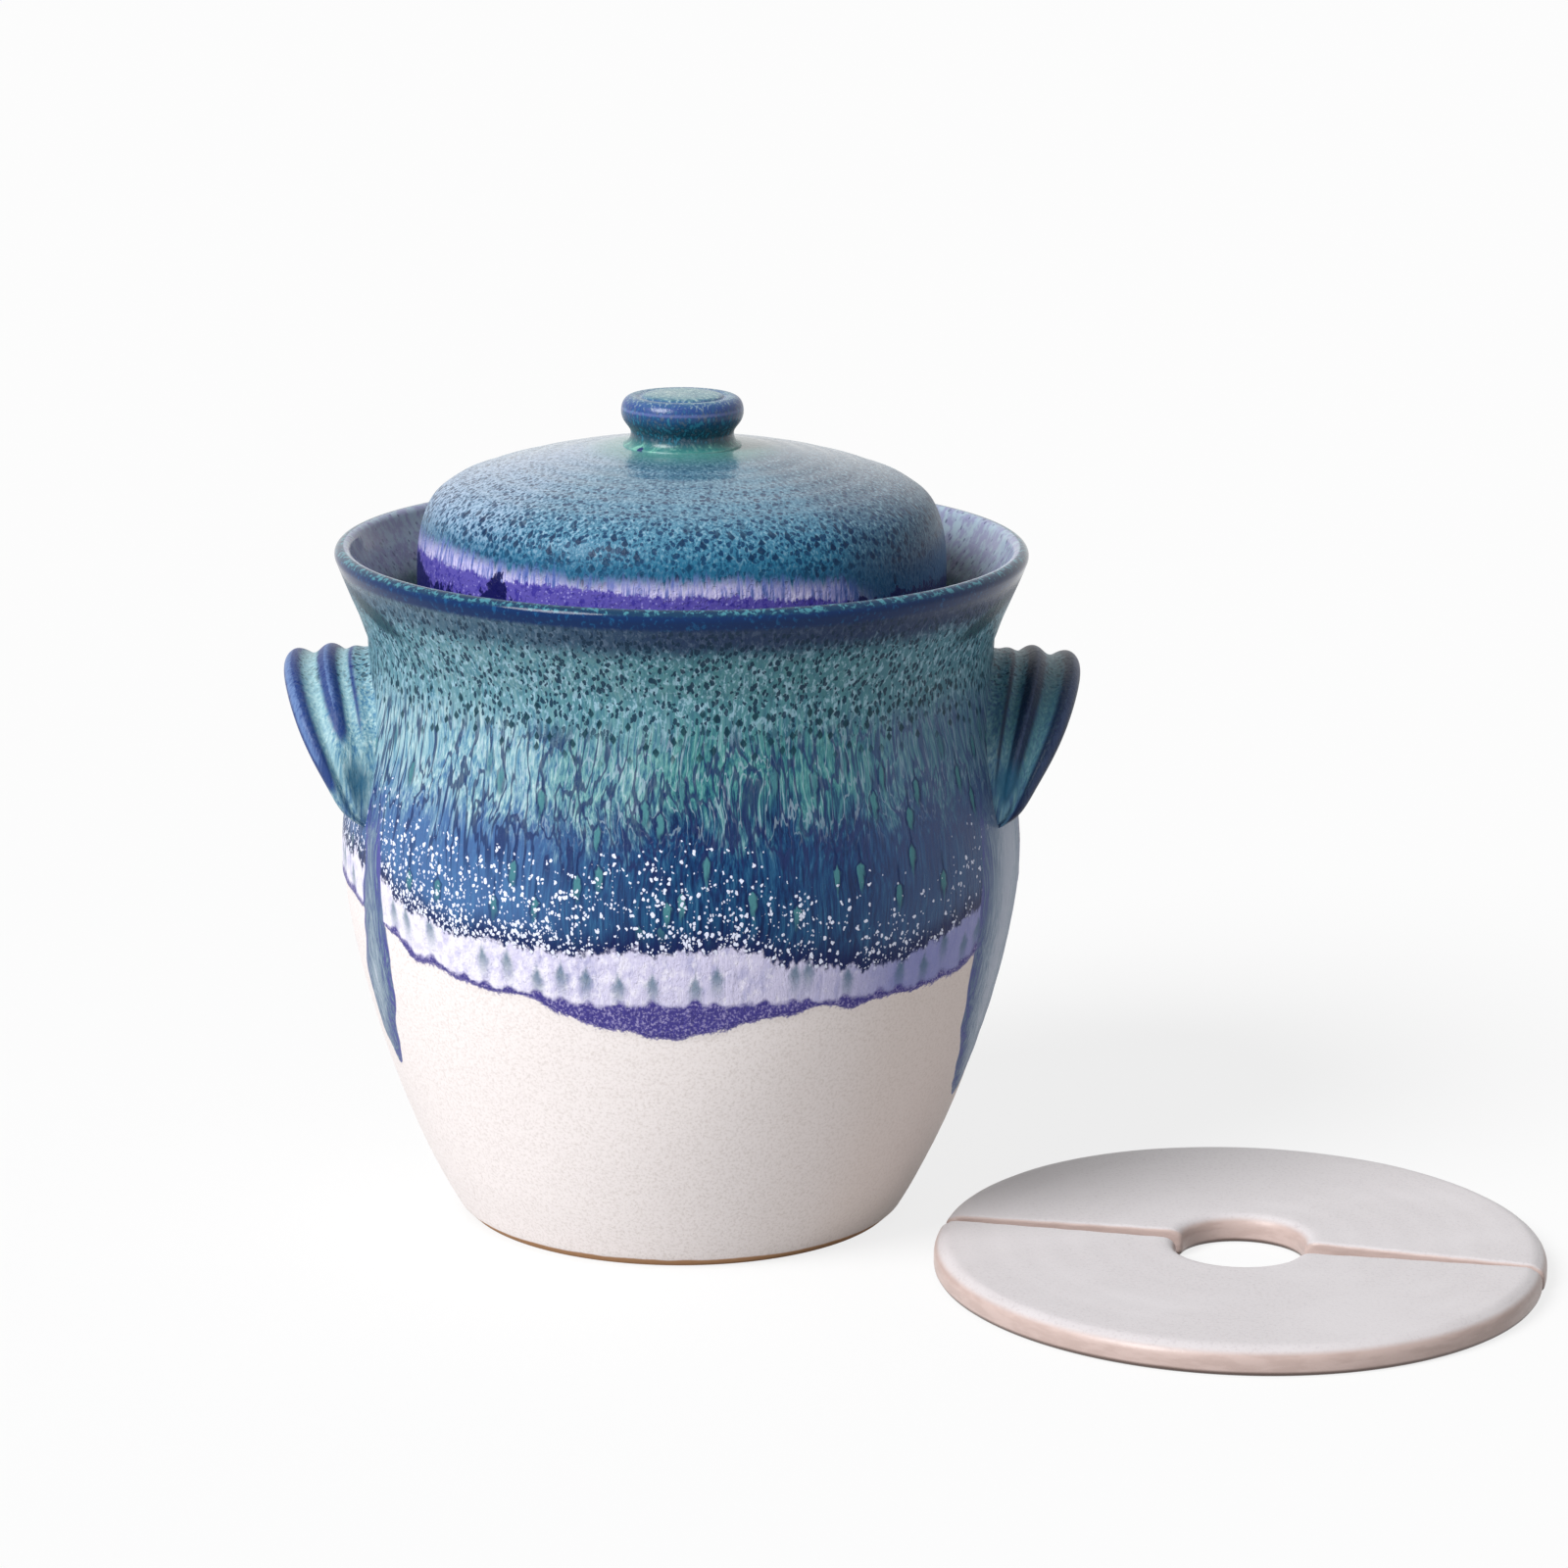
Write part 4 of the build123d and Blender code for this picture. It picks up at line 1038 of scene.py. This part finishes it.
def seenShare(tree):
    # 1 for rays that show the backdrop, 0 for those that light the object
    path = addNode(tree, "LightPath")
    seen = addNode(tree, "Math", (path["Is Camera Ray"], path["Is Glossy Ray"]), operation="MAXIMUM")[0]
    return addNode(tree, "Math", (seen, path["Is Transmission Ray"]), operation="MAXIMUM")[0]


def makeFloor():
    s = studio
    bm = bmesh.new()
    bmesh.ops.create_grid(bm, x_segments=2, y_segments=2, size=s["floorSize"] / 2)
    material = bpy.data.materials.new("whitePaper")
    tree = emptyTree(material)
    seen = seenShare(tree)
    bounce, shown = [(*[s[name]] * 3, 1) for name in ("floorBounce", "floorSeen")]
    color = addNode(tree, "Mix", {0: seen, 6: bounce, 7: shown}, data_type="RGBA")[2]
    paper = addNode(tree, "BsdfDiffuse", (color,))[0]
    glow = addNode(tree, "Emission", {"Color": (1, 1, 1, 1), "Strength": 1.0})[0]
    amount = addNode(tree, "Math", (seen, s["floorGlow"]), operation="MULTIPLY")[0]
    shader = addNode(tree, "MixShader", (amount, paper, glow))[0]
    addNode(tree, "OutputMaterial", (shader,))
    newObject(bm, "floor", [material])


def makeWorld():
    world = bpy.data.worlds.new("studio")
    tree = emptyTree(world)
    strength = addNode(tree, "MapRange", (seenShare(tree), 0, 1, studio["worldFill"], 1.0))[0]
    shader = addNode(tree, "Background", ((1, 1, 1, 1), strength))[0]
    addNode(tree, "OutputWorld", (shader,))
    bpy.context.scene.world = world


def makeKeyLight():
    s = studio
    azimuth, elevation = radians(s["keyAzimuth"]), radians(s["keyElevation"])
    away = Vector((sin(azimuth) * cos(elevation), -cos(azimuth) * cos(elevation), sin(elevation)))
    light = bpy.data.lights.new("softbox", "SUN")
    light.angle = radians(s["keySpread"])
    light.energy = s["keyPower"]
    lamp = bpy.data.objects.new("softbox", light)
    lamp.location = away * 2
    lamp.rotation_euler = away.to_track_quat("Z", "Y").to_euler()
    bpy.context.scene.collection.objects.link(lamp)


def makeCamera():
    s = studio
    pitch, yaw, roll = radians(s["pitch"]), radians(s["yaw"]), radians(s["roll"])
    ahead = Vector((sin(yaw) * cos(pitch), cos(yaw) * cos(pitch), -sin(pitch)))
    right = Vector((cos(yaw), -sin(yaw), 0))
    up = right.cross(ahead)
    tiltedRight = right * cos(roll) + up * sin(roll)
    tiltedUp = up * cos(roll) - right * sin(roll)
    data = bpy.data.cameras.new("photoCamera")
    data.sensor_width = s["sensor"]
    data.lens = s["lens"]
    camera = bpy.data.objects.new("photoCamera", data)
    turn = Matrix((tiltedRight, tiltedUp, -ahead)).transposed().to_4x4()
    camera.matrix_world = Matrix.Translation(s["cameraPlace"]) @ turn
    bpy.context.scene.collection.objects.link(camera)
    bpy.context.scene.camera = camera


makeFloor()
makeWorld()
makeKeyLight()
makeCamera()
bpy.context.scene.view_settings.view_transform = "Standard"
print("studio made")

bpy.context.view_layer.update()
